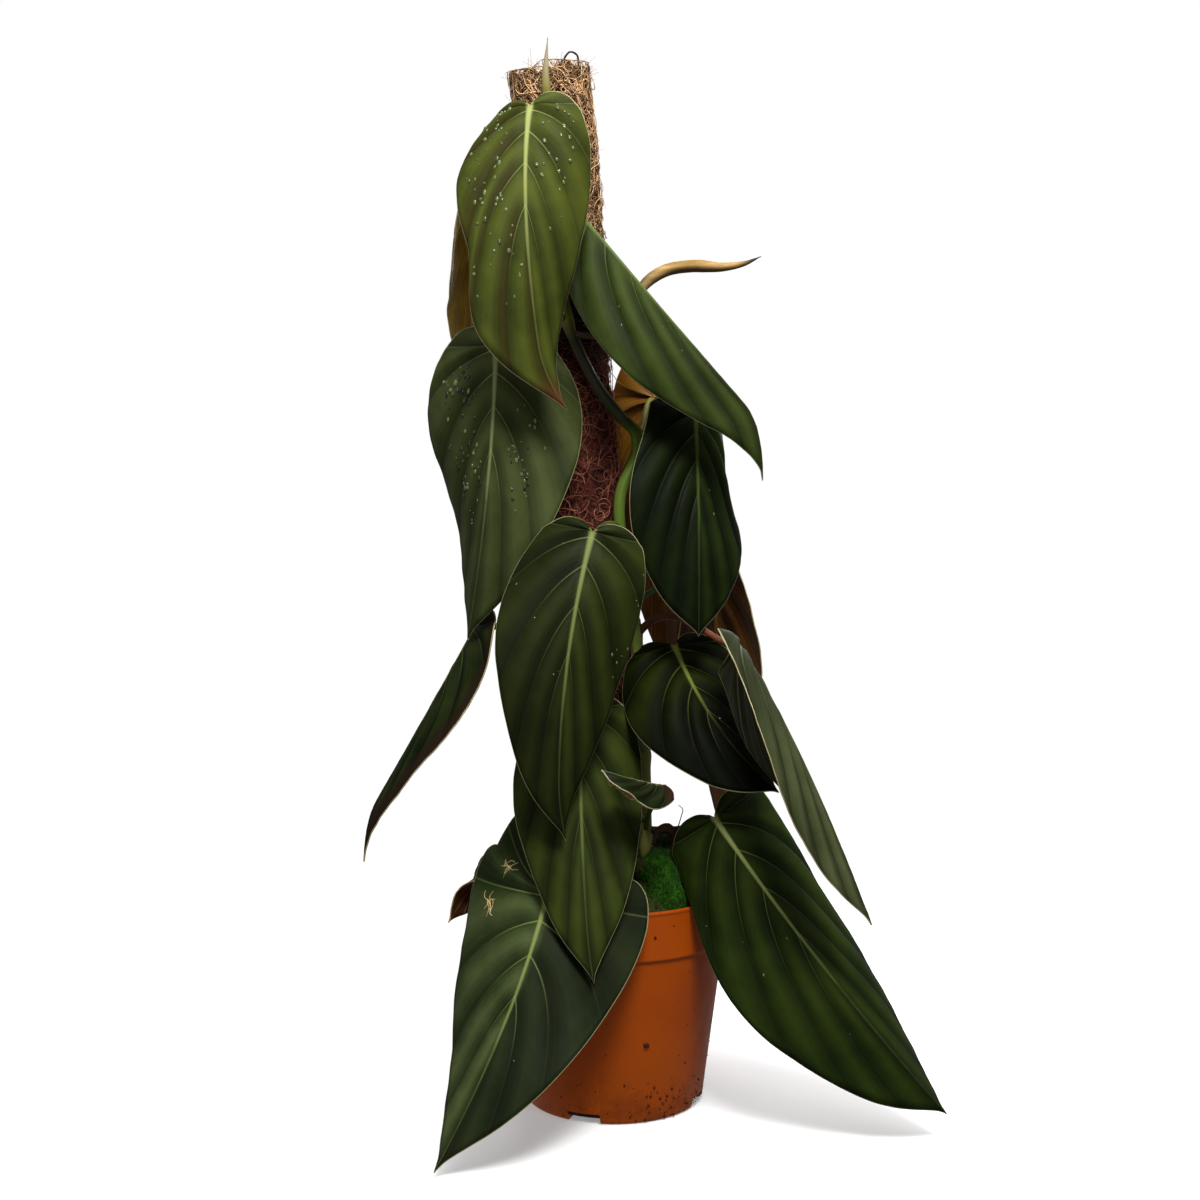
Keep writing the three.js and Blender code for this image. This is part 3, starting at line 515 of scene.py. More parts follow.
def floor_disc():
    """A pale floor that fades to pure white away from the object."""
    m = Mat("studio_floor")
    place = m.node("VectorMath", operation="LENGTH")
    m.link(m.place, place.inputs[0])
    far = m.range(place.outputs["Value"], 0.3, 1.1)
    colour = m.mix(far, rgb(226, 226, 226), rgb(0, 0, 0))
    mat = m.finish(colour, 0.9, m.bump(m.noise(400, 2), 0.02, 0.0002))
    m.shader.inputs["Emission Color"].default_value = (1, 1, 1, 1)
    m.link(m.math("MULTIPLY_ADD", far, 1.0 - FLOOR_GLOW, FLOOR_GLOW), m.shader.inputs["Emission Strength"])
    turns = np.linspace(0, 2 * pi, FLOOR_SIDES + 1)[:-1]
    verts = [(0, 0, 0)] + [(FLOOR_RADIUS_M * cos(a), FLOOR_RADIUS_M * sin(a), 0) for a in turns]
    faces = [(0, i + 1, (i + 1) % FLOOR_SIDES + 1) for i in range(FLOOR_SIDES)]
    ob = make("floor", verts, faces, [mat], scale=1)
    ob.visible_diffuse = False
    ob.visible_glossy = False


camera()
area_light("key", (0.25, -1.3, 1.95), 0.6, 60)
area_light("fill_left", (-1.6, -1.3, 0.9), 1.0, 5)
area_light("fill_right", (1.5, -1.5, 0.8), 0.8, 3)
area_light("top", (0.0, -0.2, 2.3), 1.4, 26, height=0.3)
area_light("back", (0.3, 1.8, 1.1), 1.2, 24)
bpy.context.scene.view_settings.view_transform = "Standard"
studio_world()
floor_disc()

# Leaves, in the frame's millimetres
BLADE_THICKNESS = 1.3
MIDRIB_DEPTH = 1.8
VEINS = 6
PLEAT_HEIGHT = 3.8
EDGE_WAVE = 2.5
ROOTED = 0.36
ROOT_REACH = 0.55
VEIN_CROWDING = 1.3
PETIOLE_RADIUS = 2.3
PETIOLE_SIDES = 14
FINE_GRID = (96, 24)
SMALL_GRID = (60, 14)
SMALL_WIDTH = 60
UPPER, UNDER, MARGIN, STALK = range(4)

OUTLINE_POINTS = np.array([
    [-0.03, 0.05], [-0.07, 0.2], [-0.075, 0.42], [-0.03, 0.64], [0.05, 0.82], [0.14, 0.95], [0.25, 1],
    [0.38, 0.96], [0.5, 0.85], [0.62, 0.71], [0.74, 0.55], [0.84, 0.36], [0.92, 0.16], [0.965, 0.05], [1, 0],
])


def outline_table():
    """Points of the heart-shaped outline, and how far along it each one lies."""
    p = OUTLINE_POINTS
    n = len(p)
    rows = []
    for t in np.linspace(0, 1, 201):
        x = (n - 1) * t
        i = min(floor(x), n - 1)
        w = x - i
        p0, p1, p2, p3 = p[max(i - 1, 0)], p[i], p[min(i + 1, n - 1)], p[min(i + 2, n - 1)]
        rows.append(hermite(p1, p2, (p2 - p0) / 2, (p3 - p1) / 2, w))
    length = lengths(rows)
    return np.array(rows), length / length[-1]


OUTLINE, OUTLINE_AT = outline_table()


def blade_frame(spec, share):
    """Point of the midrib, and the directions along it, across it and out of the blade."""
    base, mid, tip = (np.asarray(spec[k], float) for k in ("base", "mid", "tip"))
    handle = 2 * mid - 0.5 * base - 0.5 * tip
    t = np.clip(share, 0, 1)[..., None]
    point = (1 - t) ** 2 * base + 2 * t * (1 - t) * handle + t ** 2 * tip
    along = 2 * (1 - t) * (handle - base) + 2 * t * (tip - handle)
    along /= norm(along, axis=-1, keepdims=True)
    point = point + along * np.minimum(share, 0)[..., None] * norm(tip - base)
    if "hook" in spec:
        late = np.maximum(0, (t - 0.8) / 0.2)
        point = point + np.asarray(spec["hook"], float) * late ** 2
    face = np.asarray(spec["face"], float)
    face_tip = np.asarray(spec.get("faceTip", spec["face"]), float)
    out = face * (1 - t) + face_tip * t
    out = out - along * (out * along).sum(-1, keepdims=True)
    out /= norm(out, axis=-1, keepdims=True)
    return point, along, np.cross(out, along), out


def blade(spec, side, line, out_share):
    """Upper point, normal, share of the midrib and distance from it, by vein line and share outwards."""
    line, out_share = np.broadcast_arrays(np.asarray(line, float), np.asarray(out_share, float))
    ex = np.interp(line, OUTLINE_AT, OUTLINE[:, 0])
    ey = np.interp(line, OUTLINE_AT, OUTLINE[:, 1])
    full_shoulder = spec.get("shoulderLeft" if side < 0 else "shoulder", 0)
    shoulder = full_shoulder * np.sin(pi * np.minimum(1, 1.45 * line)) ** 2
    outline = np.where(ex < 0, ex * spec.get("lobe", 1), np.maximum(ex, 0) ** spec.get("broad", 1))
    root = ROOT_REACH * np.maximum(0, (line - ROOTED) / (1 - ROOTED)) ** 1.6
    arching = smooth(np.minimum(1, line * 3))
    bowed = 0.45 * out_share + 0.55 * out_share ** 2.6
    share = root + (outline - shoulder - root) * (out_share * (1 - arching) + bowed * arching)
    fullness = 1 + smooth((ex - 0.5) / 0.3) * (spec.get("fullLeft", 0) if side < 0 else 0)
    half = spec["width"] / 2
    distance = ey * fullness * half * out_share
    point, _, across, out = blade_frame(spec, share)
    fold, curl = spec["right"] if side > 0 else spec["left"]
    start = radians(fold)
    bend = radians(curl) / half
    angle = start + bend * distance
    reach = (np.sin(angle) - sin(start)) / bend
    rise = (cos(start) - np.cos(angle)) / bend
    normal = out * np.cos(angle)[..., None] - side * across * np.sin(angle)[..., None]
    between = (VEINS * line ** VEIN_CROWDING) % 1
    pleat = np.abs(np.sin(pi * between ** 0.75))
    swell = np.sin(pi * (0.12 + 0.8 * out_share)) * np.sin(pi * (0.1 + 0.9 * line))
    swell = swell * smooth(out_share / 0.16)
    ripple = np.sin(9 * share + 2 * side + spec.get("phase", 0)) * np.minimum(1, 4 * (1 - line))
    drop = np.where(share < 0, spec.get("lobeDrop", 0) * (share * 10) ** 2, 0)
    lift = pleat * PLEAT_HEIGHT * swell + EDGE_WAVE * ripple * out_share ** 2
    lift = lift + 0.7 * np.exp(-(distance / 1.5) ** 2) * (1 - 0.6 * np.clip(share, 0, 1))
    point = point + across * (side * reach)[..., None] + out * (rise - drop)[..., None]
    return point + normal * lift[..., None], normal, share, distance


def petiole_path(spec, stem_start, count=44):
    """The stalk's path from the stem to the back of the blade, and its radius."""
    _, along, _, out = (x[0] for x in blade_frame(spec, np.array([0.0])))
    radius = spec.get("petioleRadius", PETIOLE_RADIUS)
    end = np.asarray(spec["base"], float) + along * 6 - out * (radius + 0.5)
    length = norm(end - stem_start)
    near = stem_start + unit(np.asarray(spec.get("leave", [0, -0.5, 1]), float)) * length * 0.42
    far = end - unit(along + out * spec.get("arrive", 0.6)) * length * 0.38
    t = np.linspace(0, 1, count)[:, None]
    first, last = (1 - t) ** 3 * stem_start, t ** 3 * end
    return first + 3 * t * (1 - t) ** 2 * near + 3 * t ** 2 * (1 - t) * far + last, radius


STEM = centripetal([
    [27, -27, 90], [24, -31, 150], [23, -31, 207], [21, -29, 272], [16, -29, 345], [5, -30, 420],
    [5, -31, 452], [16, -26, 478], [16, -27, 492], [4, -32, 505], [-12, -34, 526], [-27, -35.5, 556],
    [-33, -35.5, 572], [-39, -35, 625], [-44, -34.5, 690],
], 240)
STEM_JOINTS = [196, 262, 306, 352, 412, 487, 571, 640, 676]


def stem_at(z):
    return np.array([np.interp(z, STEM[:, 2], STEM[:, k]) for k in range(3)])


def weld(ob):
    """Joins vertices that lie in the same place."""
    bm = bmesh.new()
    bm.from_mesh(ob.data)
    bmesh.ops.remove_doubles(bm, verts=bm.verts, dist=2e-6)
    bm.to_mesh(ob.data)
    bm.free()


def half_blade(spec, side, lines, columns):
    """Upper and under points of half a blade, with the places and distances its materials read."""
    li = np.linspace(0, 1, lines + 1)[:, None]
    oi = (np.linspace(0, 1, columns + 1) ** 0.9)[None, :]
    at_vein = VEINS * li ** VEIN_CROWDING
    point, normal, share, distance = blade(spec, side, li, oi)
    rough = 0.25 * np.sin(0.35 * point[..., 0] + 2 * side) * np.sin(0.31 * point[..., 2] + 1)
    point = point + normal * (rough * oi)[..., None]
    towards_tip = np.clip(share, 0, 1)
    ridge = MIDRIB_DEPTH * (1 - 0.75 * towards_tip) * np.exp(-(distance / 2.0) ** 2)
    ribs_under = 0.35 * np.exp(-(np.abs(((at_vein + 0.5) % 1) - 0.5) / 0.08) ** 2) * (1 - oi)
    thick = BLADE_THICKNESS * (1 - 0.35 * oi ** 3) + ridge + ribs_under
    under = point - normal * thick[..., None]
    per_line = np.maximum(np.gradient(at_vein, axis=0), 1e-4)
    gap_mm = norm(np.gradient(point, axis=0), axis=-1) / per_line
    edge_mm = norm(point - point[:, -1:, :], axis=-1)
    rib_width = 0.4 + 1.1 * (1 - towards_tip) + 1.1 * np.exp(-np.abs(share) / 0.08)
    places = np.broadcast_to(at_vein, share.shape), np.broadcast_to(side * oi, share.shape), share
    return point, under, np.stack(places, -1), np.stack([gap_mm, distance / rib_width, edge_mm], -1)


def blade_faces(lines, columns, base, flip):
    row = columns + 1
    corners = [base + i * row + j for i in range(lines) for j in range(columns)]
    quads = [(a, a + row, a + row + 1, a + 1) for a in corners]
    return quads if flip else [quad[::-1] for quad in quads]


def leaf_materials(name, look):
    return [
        upper_material(name + "_upper", look),
        under_material(name + "_under", *look["under"]),
        plain_material(name + "_margin", look.get("margin", (176, 168, 126)), (150, 132, 92), 90, 0.5),
        plain_material(name + "_stalk", *look["stalk"], 50, 0.45, stretch=(1, 1, 0.3),
                       Specular_IOR_Level=0.25),
    ]


def leaf_mesh(spec):
    """One leaf with its stalk: two halves that share the midrib, closed along the margin."""
    lines, columns = SMALL_GRID if spec["width"] < SMALL_WIDTH else FINE_GRID
    row, count = columns + 1, (lines + 1) * (columns + 1)
    rim = [*range(row), *(i * row + columns for i in range(1, lines + 1))]
    grids, faces, kinds, vein, mm = [], [], [], [], []
    for side in (1, -1):
        upper, under, vein_places, distances = half_blade(spec, side, lines, columns)
        for grid, kind in ((upper, UPPER), (under, UNDER)):
            faces += blade_faces(lines, columns, len(grids) * count, (side > 0) == (kind == UPPER))
            kinds += [kind] * lines * columns
            grids.append(grid)
            vein.append(vein_places.reshape(-1, 3))
            mm.append(distances.reshape(-1, 3))
        low = (len(grids) - 1) * count
        top = low - count
        for a, b in zip(rim, rim[1:]):
            quad = (top + a, top + b, low + b, low + a)
            faces.append(quad if side > 0 else quad[::-1])
            kinds.append(MARGIN)
    for right, left in zip(grids[:2], grids[2:]):
        right[:, 0] = left[:, 0] = (right[:, 0] + left[:, 0]) / 2
    path, radius = petiole_path(spec, stem_at(spec["stemHeight"]))
    t = np.linspace(0, 1, len(path))
    r = radius * (1.25 - 0.3 * smooth(np.minimum(1, 2 * t)) + 0.12 * np.exp(-((t - 0.97) / 0.04) ** 2))
    stalk, stalk_faces = tube(path, r, PETIOLE_SIDES, base=4 * count)
    no_vein = [np.zeros((len(stalk), 3))]
    ob = make(spec["name"] + "_fine", np.concatenate([*(g.reshape(-1, 3) for g in grids), stalk]),
              faces + stalk_faces, leaf_materials(spec["name"], spec["look"]), spec["look"]["slot"],
              face_mats=kinds + [STALK] * len(stalk_faces),
              attrs={"vein": np.concatenate(vein + no_vein), "mm": np.concatenate(mm + no_vein)})
    weld(ob)
    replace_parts(ob, spec["name"])


OLIVE = dict(slot="leaf_olive", deep=(24, 31, 6), light=(50, 60, 20), vein=(118, 128, 70),
             under=((112, 84, 34), (88, 46, 22), (176, 150, 70)), stalk=((70, 84, 34), (48, 56, 22)))
# Bright leaves: a brown-olive painted shade in the folds, and a brown tip.
BRIGHT = dict(OLIVE, slot="leaf_bright", deep=(35, 41, 11), light=(70, 77, 29), vein=(140, 146, 88),
              fold_shade_tint=(38, 32, 6), tip=(86, 44, 26), margin=(180, 164, 126))
DARK = dict(OLIVE, slot="leaf_dark", deep=(5, 11, 1), light=(28, 40, 7), vein=(62, 78, 30), gloss=0.05)


def leaf(name, height, base, mid, tip, face, width, left, right, look, **more):
    """A leaf by its stem height, midrib, facing and width, and the fold and curl of each half."""
    return dict(name="leaf_" + name, stemHeight=height, base=base, mid=mid, tip=tip, face=face,
                width=width, left=left, right=right, look=look, **more)


LEAVES = [
    leaf("top_front", 676, [-57, -74, 713], [-58, -108, 622], [-44, -92, 507], [-0.3, -1, 0.3], 96,
         [-6, -28], [-6, -34], BRIGHT, hook=[12, 0, 3], faceTip=[0.75, -1, 0.2], lobe=0.8, lobeDrop=3,
         phase=1, fullLeft=0.6),
    leaf("left_wide", 571, [-82, -56, 554], [-87, -73, 460], [-103, -54, 349], [-0.1, -1, 0.25], 128,
         [-16, -16], [-26, -14], leave=[-0.6, -0.7, 0.6], faceTip=[-1, -1, 0.1], lobe=1.2, lobeDrop=5,
         look=dict(OLIVE, deep=(38, 45, 21), light=(67, 75, 47), vein=(122, 132, 88), fold_shade=0.4)),
    leaf("right_upper", 640, [-20, -52, 640.5], [46, -80, 562], [115, -82, 484], [0.7, -0.5, 0.6], 96,
         [-50, -16], [-50, -16], leave=[0.7, -0.9, 0.5], hook=[-14, 0, -22], lobe=0.3, broad=0.7,
         look=dict(OLIVE, deep=(30, 38, 12), light=(54, 66, 28), vein=(88, 100, 54))),
    leaf("left_back", 655, [-92, -24, 663], [-103, 6, 594], [-101, 10, 508], [-1, 0.35, 0.2], 86,
         [8, -20], [8, -20], leave=[-0.9, -0.2, 0.4],
         look=dict(OLIVE, under=((172, 140, 38), (134, 96, 18), (200, 182, 110)))),
    leaf("right_middle", 490, [57, -34, 508], [58, -68, 435], [58, -78, 354.5], [0.6, -1, 0.3], 98,
         [-4, -10], [-14, -40], leave=[0.8, -0.5, 0.4], faceTip=[0.1, -1, 0.3], lobe=0.8, broad=0.62,
         look=dict(DARK, shade_left=0.5)),
    leaf("right_back", 474, [30, 16, 518], [36, 30, 427], [43, 34, 299], [0.3, 1, 0.2], 92, [-35, -10],
         [4, -6], leave=[0.3, 0.7, 1], petioleRadius=2.6, lobe=1.7, broad=1.1,
         look=dict(OLIVE, under=((108, 72, 12), (90, 46, 8), (136, 106, 50)),
                   stalk=((92, 98, 34), (120, 88, 36)))),
    leaf("centre", 412, [-15, -92, 428], [-34, -124, 325], [-37, -112, 219], [-0.1, -1, 0.3], 104,
         [-4, -24], [-18, -24], hook=[4, 0, 0], faceTip=[0.5, -1, 0.2], lobe=0.6, lobeDrop=3,
         look=dict(OLIVE, deep=(20, 26, 5), light=(44, 52, 17), shade_left=0.45, vein=(104, 114, 62))),
    leaf("right_outer", 348, [85, -84, 351], [126, -128, 277], [172, -140, 168], [1, 0.4, 0.5], 84,
         [-20, -20], [-30, -20], leave=[0.7, -0.1, 1], faceTip=[1, -0.5, 0.4], lobe=0.2, broad=0.62,
         look=dict(OLIVE, deep=(42, 48, 28), light=(76, 82, 60), head=0.75,
                   under=((34, 36, 14), (22, 26, 9), (80, 80, 44)),
                   stalk=((92, 46, 22), (62, 28, 13)))),
    leaf("right_inner", 300, [43, -36, 342], [72, -84, 292], [113, -96, 249], [0.05, -0.6, 0.8], 104,
         [-5, -30], [-5, -30], leave=[0.7, -0.3, 0.7],
         look=dict(DARK, deep=(3, 5, 1), light=(30, 37, 6), vein=(112, 122, 54), black=(0.15, 0.5),
                   gloss=0.03, rib_fade=0.05, rib_end=0.55, stalk=((156, 70, 30), (112, 42, 16)))),
    leaf("back_right", 372, [73, 22, 394], [82, 44, 290], [88, 42, 172], [0.7, 0.7, 0.1], 84, [6, -20],
         [6, -20], leave=[0.7, 0.5, 0.3],
         look=dict(OLIVE, under=((84, 52, 16), (60, 28, 8), (118, 88, 42)))),
    leaf("lower_centre", 262, [-24, -68, 304], [-22, -104, 212], [-16, -128, 126], [0, -1, 0.25], 96,
         [-4, -20], [-14, -18], hook=[2, 0, -2], lobe=0.6,
         look=dict(OLIVE, vein=(98, 108, 56))),
    leaf("front_left", 214, [-46, -94, 178], [-76, -134, 94], [-121, -163, 5], [0.15, -1, 0.4], 146,
         [-30, -30], [4, -12], leave=[-0.5, -0.7, 0.7], faceTip=[-0.35, -1, 0.3], lobe=3, shoulder=0.13,
         shoulderLeft=0.17, broad=1.4,
         look=dict(OLIVE, deep=(22, 34, 8), light=(70, 80, 54), shade_right=0.75, fold_shade=0.5)),
    leaf("lower_right", 208, [70, -77, 226.5], [144, -104, 128.5], [232, -98, 21], [-0.35, -1, 0.6],
         134, [-28, -8], [-26, -36], leave=[1, 0.1, -0.1], arrive=3, faceTip=[0.7, -1, 0.5], lobe=0.6,
         broad=0.62,
         look=dict(OLIVE, deep=(14, 26, 4), light=(42, 54, 15), vein=(132, 140, 82), rib_fade=0.12,
                   rib_end=0.65, fold_shade=0.45, stalk=((70, 56, 30), (48, 44, 22)))),
    leaf("left_outer", 356, [-99, -34, 355.5], [-140, -58, 283], [-185, -62, 206], [-1, -0.2, 0.4], 78,
         [-24, -10], [-20, -8], leave=[-0.6, -0.7, 0.3], hook=[8, 0, -14],
         look=dict(DARK, light=(34, 42, 12), rolled=(28, 16, 9), stalk=((120, 58, 28), (84, 34, 16)))),
    leaf("small_folded", 206, [32, -96, 254], [12, -114, 262], [-9, -122, 270], [0.1, -0.7, 0.8], 42,
         [-75, -10], [0, -10], leave=[0, -0.6, 0.8], petioleRadius=1.6,
         look=dict(OLIVE, deep=(12, 18, 5), light=(29, 37, 14), vein=(100, 104, 66),
                   margin=(176, 172, 140), heel=(40, 18, 10), rib_fade=0.7)),
    leaf("small_left", 205, [-86, -12, 182], [-102, -20, 168], [-120, -34, 140], [-0.4, -0.5, 0.8], 56,
         [-10, -20], [-10, -20], leave=[-0.7, -0.5, 0.5], petioleRadius=1.7, faceTip=[-0.5, 0.8, 0.2],
         look=dict(BRIGHT, under=((62, 34, 16), (46, 19, 10), (104, 78, 42)), tip=(48, 22, 12))),
]
LEAF = {spec["name"]: spec for spec in LEAVES}

for spec in LEAVES:
    leaf_mesh(spec)


# Water drops and dried scars
DROP_ROWS = [
    ("leaf_top_front", -1, 60, (0.3, 0.93), (0.25, 0.9), 0.95),
    ("leaf_top_front", 1, 26, (0.3, 0.8), (0.2, 0.75), 1.0),
    ("leaf_left_wide", -1, 34, (0.42, 0.62), (0.3, 0.8), 1.15),
    ("leaf_left_wide", -1, 46, (0.66, 0.9), (0.3, 0.75), 0.8),
    ("leaf_left_wide", 1, 34, (0.6, 0.8), (0.35, 0.75), 0.85),
    ("leaf_right_upper", -1, 6, (0.4, 0.9), (0.2, 0.8), 0.5),
    ("leaf_right_upper", 1, 5, (0.4, 0.9), (0.2, 0.8), 0.5),
    ("leaf_centre", 1, 9, (0.35, 0.6), (0.75, 0.95), 0.6),
    ("leaf_centre", -1, 5, (0.4, 0.9), (0.3, 0.9), 0.5),
    ("leaf_lower_centre", -1, 4, (0.3, 0.9), (0.2, 0.8), 0.5),
    ("leaf_lower_right", -1, 5, (0.3, 0.9), (0.2, 0.8), 0.5),
    ("leaf_front_left", 1, 4, (0.3, 0.9), (0.2, 0.8), 0.5),
    ("leaf_right_middle", 1, 2, (0.6, 0.9), (0.3, 0.8), 0.6),
    ("leaf_right_inner", 1, 2, (0.5, 0.9), (0.3, 0.8), 0.6),
]
DROP_SIDES = 9
DROP_LEVELS = (-0.25, 0.15, 0.55, 0.85)


def bead(place, normal, radius, long):
    """A drop of water that lies flat on a leaf and is drawn out down the slope."""
    across = unit(np.cross(normal, [0, 0, 1.0]))
    down = np.cross(normal, across)
    verts = []
    for up in DROP_LEVELS:
        wide = sqrt(1 - up ** 2)
        for q in 2 * pi * np.arange(DROP_SIDES) / DROP_SIDES:
            flat = wide * cos(q) * across + long * wide * sin(q) * down
            verts.append(place + radius * (flat + 0.6 * up * normal))
    top = len(verts)
    verts.append(place + radius * 0.6 * normal)
    last = top - DROP_SIDES
    cap = [(last + j, last + (j + 1) % DROP_SIDES, top) for j in range(DROP_SIDES)]
    return verts, ring_faces(len(DROP_LEVELS), DROP_SIDES) + cap


def water_drops():
    """Beads of water in loose rows, most of them on the two upper leaves."""
    r = np.random.default_rng(21)
    bag = Bag()
    for name, side, count, line, out, size in DROP_ROWS:
        for _ in range(count):
            at = np.array([r.uniform(*line)]), np.array([r.uniform(*out)])
            point, normal, _, _ = blade(LEAF[name], side, *at)
            verts, faces = bead(point[0], unit(normal[0]), size * r.uniform(0.6, 1.5), r.uniform(1, 1.9))
            # The drops' tints run from dark to pale; the pale ones are a painted reflection of the light on
            # the beads, and the drops on the wide left leaf are mostly dark.
            bag.add(verts, faces, r.uniform() ** 2 if name == "leaf_left_wide" else r.uniform(0.3, 0.85))
    mat = tuft_material("water", (20, 25, 10), (120, 134, 84), 0.06, grain=(500, 1), bump=(0.05, 0.0002),
                        Transmission_Weight=0.3, IOR=1.42, Specular_IOR_Level=0.45)
    bag.make("water_drops", mat, "leaf_olive")


SCARS = [
    ((0.300, 0.640), [(0.285, 0.765), (0.262, 0.610), (0.275, 0.530),
                      (0.330, 0.560), (0.397, 0.560), (0.345, 0.690)]),
    ((0.480, 0.630), [(0.449, 0.730), (0.452, 0.610), (0.478, 0.550),
                      (0.523, 0.570), (0.521, 0.650), (0.498, 0.690)]),
]


def scars():
    """Two dried, star-like cracks on the front leaf."""
    r = np.random.default_rng(12)
    bag = Bag()

    def crack(start, end, thick):
        s = np.linspace(0, 1, 7)
        bend = r.uniform(-0.012, 0.012)
        line = start[0] + (end[0] - start[0]) * s + bend * np.sin(pi * s)
        out = start[1] + (end[1] - start[1]) * s - 2 * bend * np.sin(2 * pi * s)
        point, normal, _, _ = blade(LEAF["leaf_front_left"], -1, line, out)
        bag.add(*tube(point - normal * 0.1, np.linspace(thick, 0.25, 7), 6))

    for centre, ends in SCARS:
        for end, after in zip(ends, ends[1:] + ends[:1]):
            crack(centre, end, r.uniform(0.45, 0.8))
            here = [c + 0.6 * (e - c) for c, e in zip(centre, end)]
            there = [c + 0.75 * (e - c) for c, e in zip(centre, after)]
            if r.uniform() < 0.4:
                crack(here, there, 0.4)
    mat = plain_material("dried_scar", (140, 116, 74), (190, 170, 124), 400, 0.9)
    bag.make("leaf_front_left_scars", mat, "leaf_olive")


water_drops()
scars()


# Stem, rolled leaf, growing tip and wire
def stem():
    z = STEM[:, 2]
    swell = sum(1.1 * np.exp(-((z - j) / 6) ** 2) for j in STEM_JOINTS)
    ring = sum(0.5 * np.exp(-((z - j - 7) / 1.2) ** 2) for j in STEM_JOINTS)
    radius = 4.2 * (1.1 - 0.25 * np.linspace(0, 1, len(z))) + swell + ring

    def uneven(a, s):
        return 1 + 0.05 * np.sin(3 * a + 30 * s) + 0.03 * np.sin(5 * a - 55 * s)
    dress("stem", *tube(STEM, radius, 24, uneven), stem_material(), "green_stem")


def young_leaf_material():
    m = Mat("young_leaf_skin")
    x = m.axes()[0]
    stripes = m.noise(110, 4, stretch=(0.08, 1, 1))
    colour = m.mix(m.range(stripes, 0.38, 0.64), rgb(132, 100, 50), rgb(182, 148, 92))
    # Painted shade: faces that turn downwards are darker.
    up = m.axes(m.node("NewGeometry").outputs["Normal"])[2]
    colour = m.over(colour, m.range(up, -0.75, 0.3, 0.85, 0.0), (46, 26, 12))
    colour = m.over(colour, m.range(x, 0.086, 0.1), (48, 38, 32))
    # Painted shade: the stalk near the stem is darkened.
    colour = m.over(colour, m.fall(x, 0.012, 0.04), (58, 50, 28))
    return m.finish(colour, 0.5, m.bump(stripes, 0.5, 0.0006))


def rolled_leaf():
    path = centripetal([
        stem_at(562), [-8, -41, 561], [11, -22, 575], [22, -4, 598], [37, 2, 608], [56, 0, 611],
        [77, -5, 610], [92, -8, 612], [104, -10, 617],
    ], 150)
    t = np.linspace(0, 1, 150)
    radius = (PETIOLE_RADIUS + 2.2 * smooth((t - 0.35) / 0.2)) * np.clip((1 - t) / 0.25, 0.04, 1) ** 0.8

    def seam(a, s):
        turn = (a - 2.2 * s * 3 + 1.0) % (2 * pi) / (2 * pi)
        return 1 + smooth((s - 0.36) / 0.08) * (0.16 * turn - 0.08 + 0.05 * np.sin(2 * a + 4 * s))
    dress("leaf_rolled", *tube(path, radius, 28, seam), young_leaf_material(), "young_leaf")


def growing_tip():
    path = centripetal([[-44, -34.5, 690.4], [-46, -35.5, 715], [-47.5, -37, 738], [-46, -36, 764]], 90)
    t = np.linspace(0, 1, 90)
    radius = 3.7 * (1 - 0.2 * t) * np.clip((1 - t) / 0.45, 0.09, 1) ** 0.9
    keel = tube(path, radius, 24, lambda a, s: 1 + 0.09 * np.sin(2 * a + 0.6) + 0.05 * np.sin(9 * a))
    m = Mat("dry_sheath_skin")
    streaks = m.range(m.noise(120, 4, stretch=(1, 1, 0.1)), 0.35, 0.65)
    colour = m.mix(streaks, rgb(104, 100, 40), rgb(138, 128, 68))
    colour = m.over(colour, m.range(m.axes()[2], 0.725, 0.75), (142, 128, 98))
    mat = m.finish(colour, 0.6, m.bump(m.noise(260, 3, stretch=(1, 1, 0.1)), 0.4, 0.0005))
    dress("growing_tip", *keel, mat, "dry_sheath")


def wire_tie():
    path = centripetal([
        [-37, -17, 736], [-36, -18, 750], [-31, -19, 757], [-26, -18, 755], [-25, -17, 748],
    ], 60)
    mat = plain_material("wire_metal", (44, 44, 42), (70, 66, 60), 200, 0.4, Metallic=0.7)
    dress("wire_tie", *tube(path, 0.7, 12), mat, "wire")


stem()
rolled_leaf()
growing_tip()
wire_tie()


# Pot
FOOT_RADIUS = 66
POT_SIDES = 176
NOTCHES = 4
FIRST_NOTCH = -109.5
FOOT_CORNER = [(62 + 4 * sin(a), 3.6 * (1 - cos(a))) for a in np.linspace(0.15, 1.4, 7)]
# Radius and height of the outside from the foot up, and then of the inside down
POT_PROFILE = [
    (62, 0), *FOOT_CORNER, (66.5, 4), (81.6, 121), (82, 123.4), (82.35, 124), (83.5, 124.25),
    (83.95, 124.9), (84, 126), (84.4, 156), (84.5, 157.1), (84.9, 157.7), (85, 158.4), (84.95, 159.2),
    (84.6, 159.85), (84.1, 160), (83.3, 160), (82.8, 159.5), (81.8, 125), (79.8, 123), (63.8, 5), (61.8, 3),
]


def cut_notch(ob, angle):
    """Takes a drain notch out of the pot's foot."""
    bpy.ops.mesh.primitive_cube_add(size=1)
    cutter = bpy.context.object
    cutter.scale = (0.032, 0.025, 0.016)
    cutter.rotation_euler = (0, 0, angle)
    cutter.location = (FOOT_RADIUS * MM * cos(angle), FOOT_RADIUS * MM * sin(angle), 0)
    mod = ob.modifiers.new("notch", "BOOLEAN")
    mod.operation = "DIFFERENCE"
    mod.object = cutter
    bpy.context.view_layer.objects.active = ob
    bpy.ops.object.modifier_apply(modifier="notch")
    bpy.data.objects.remove(cutter)


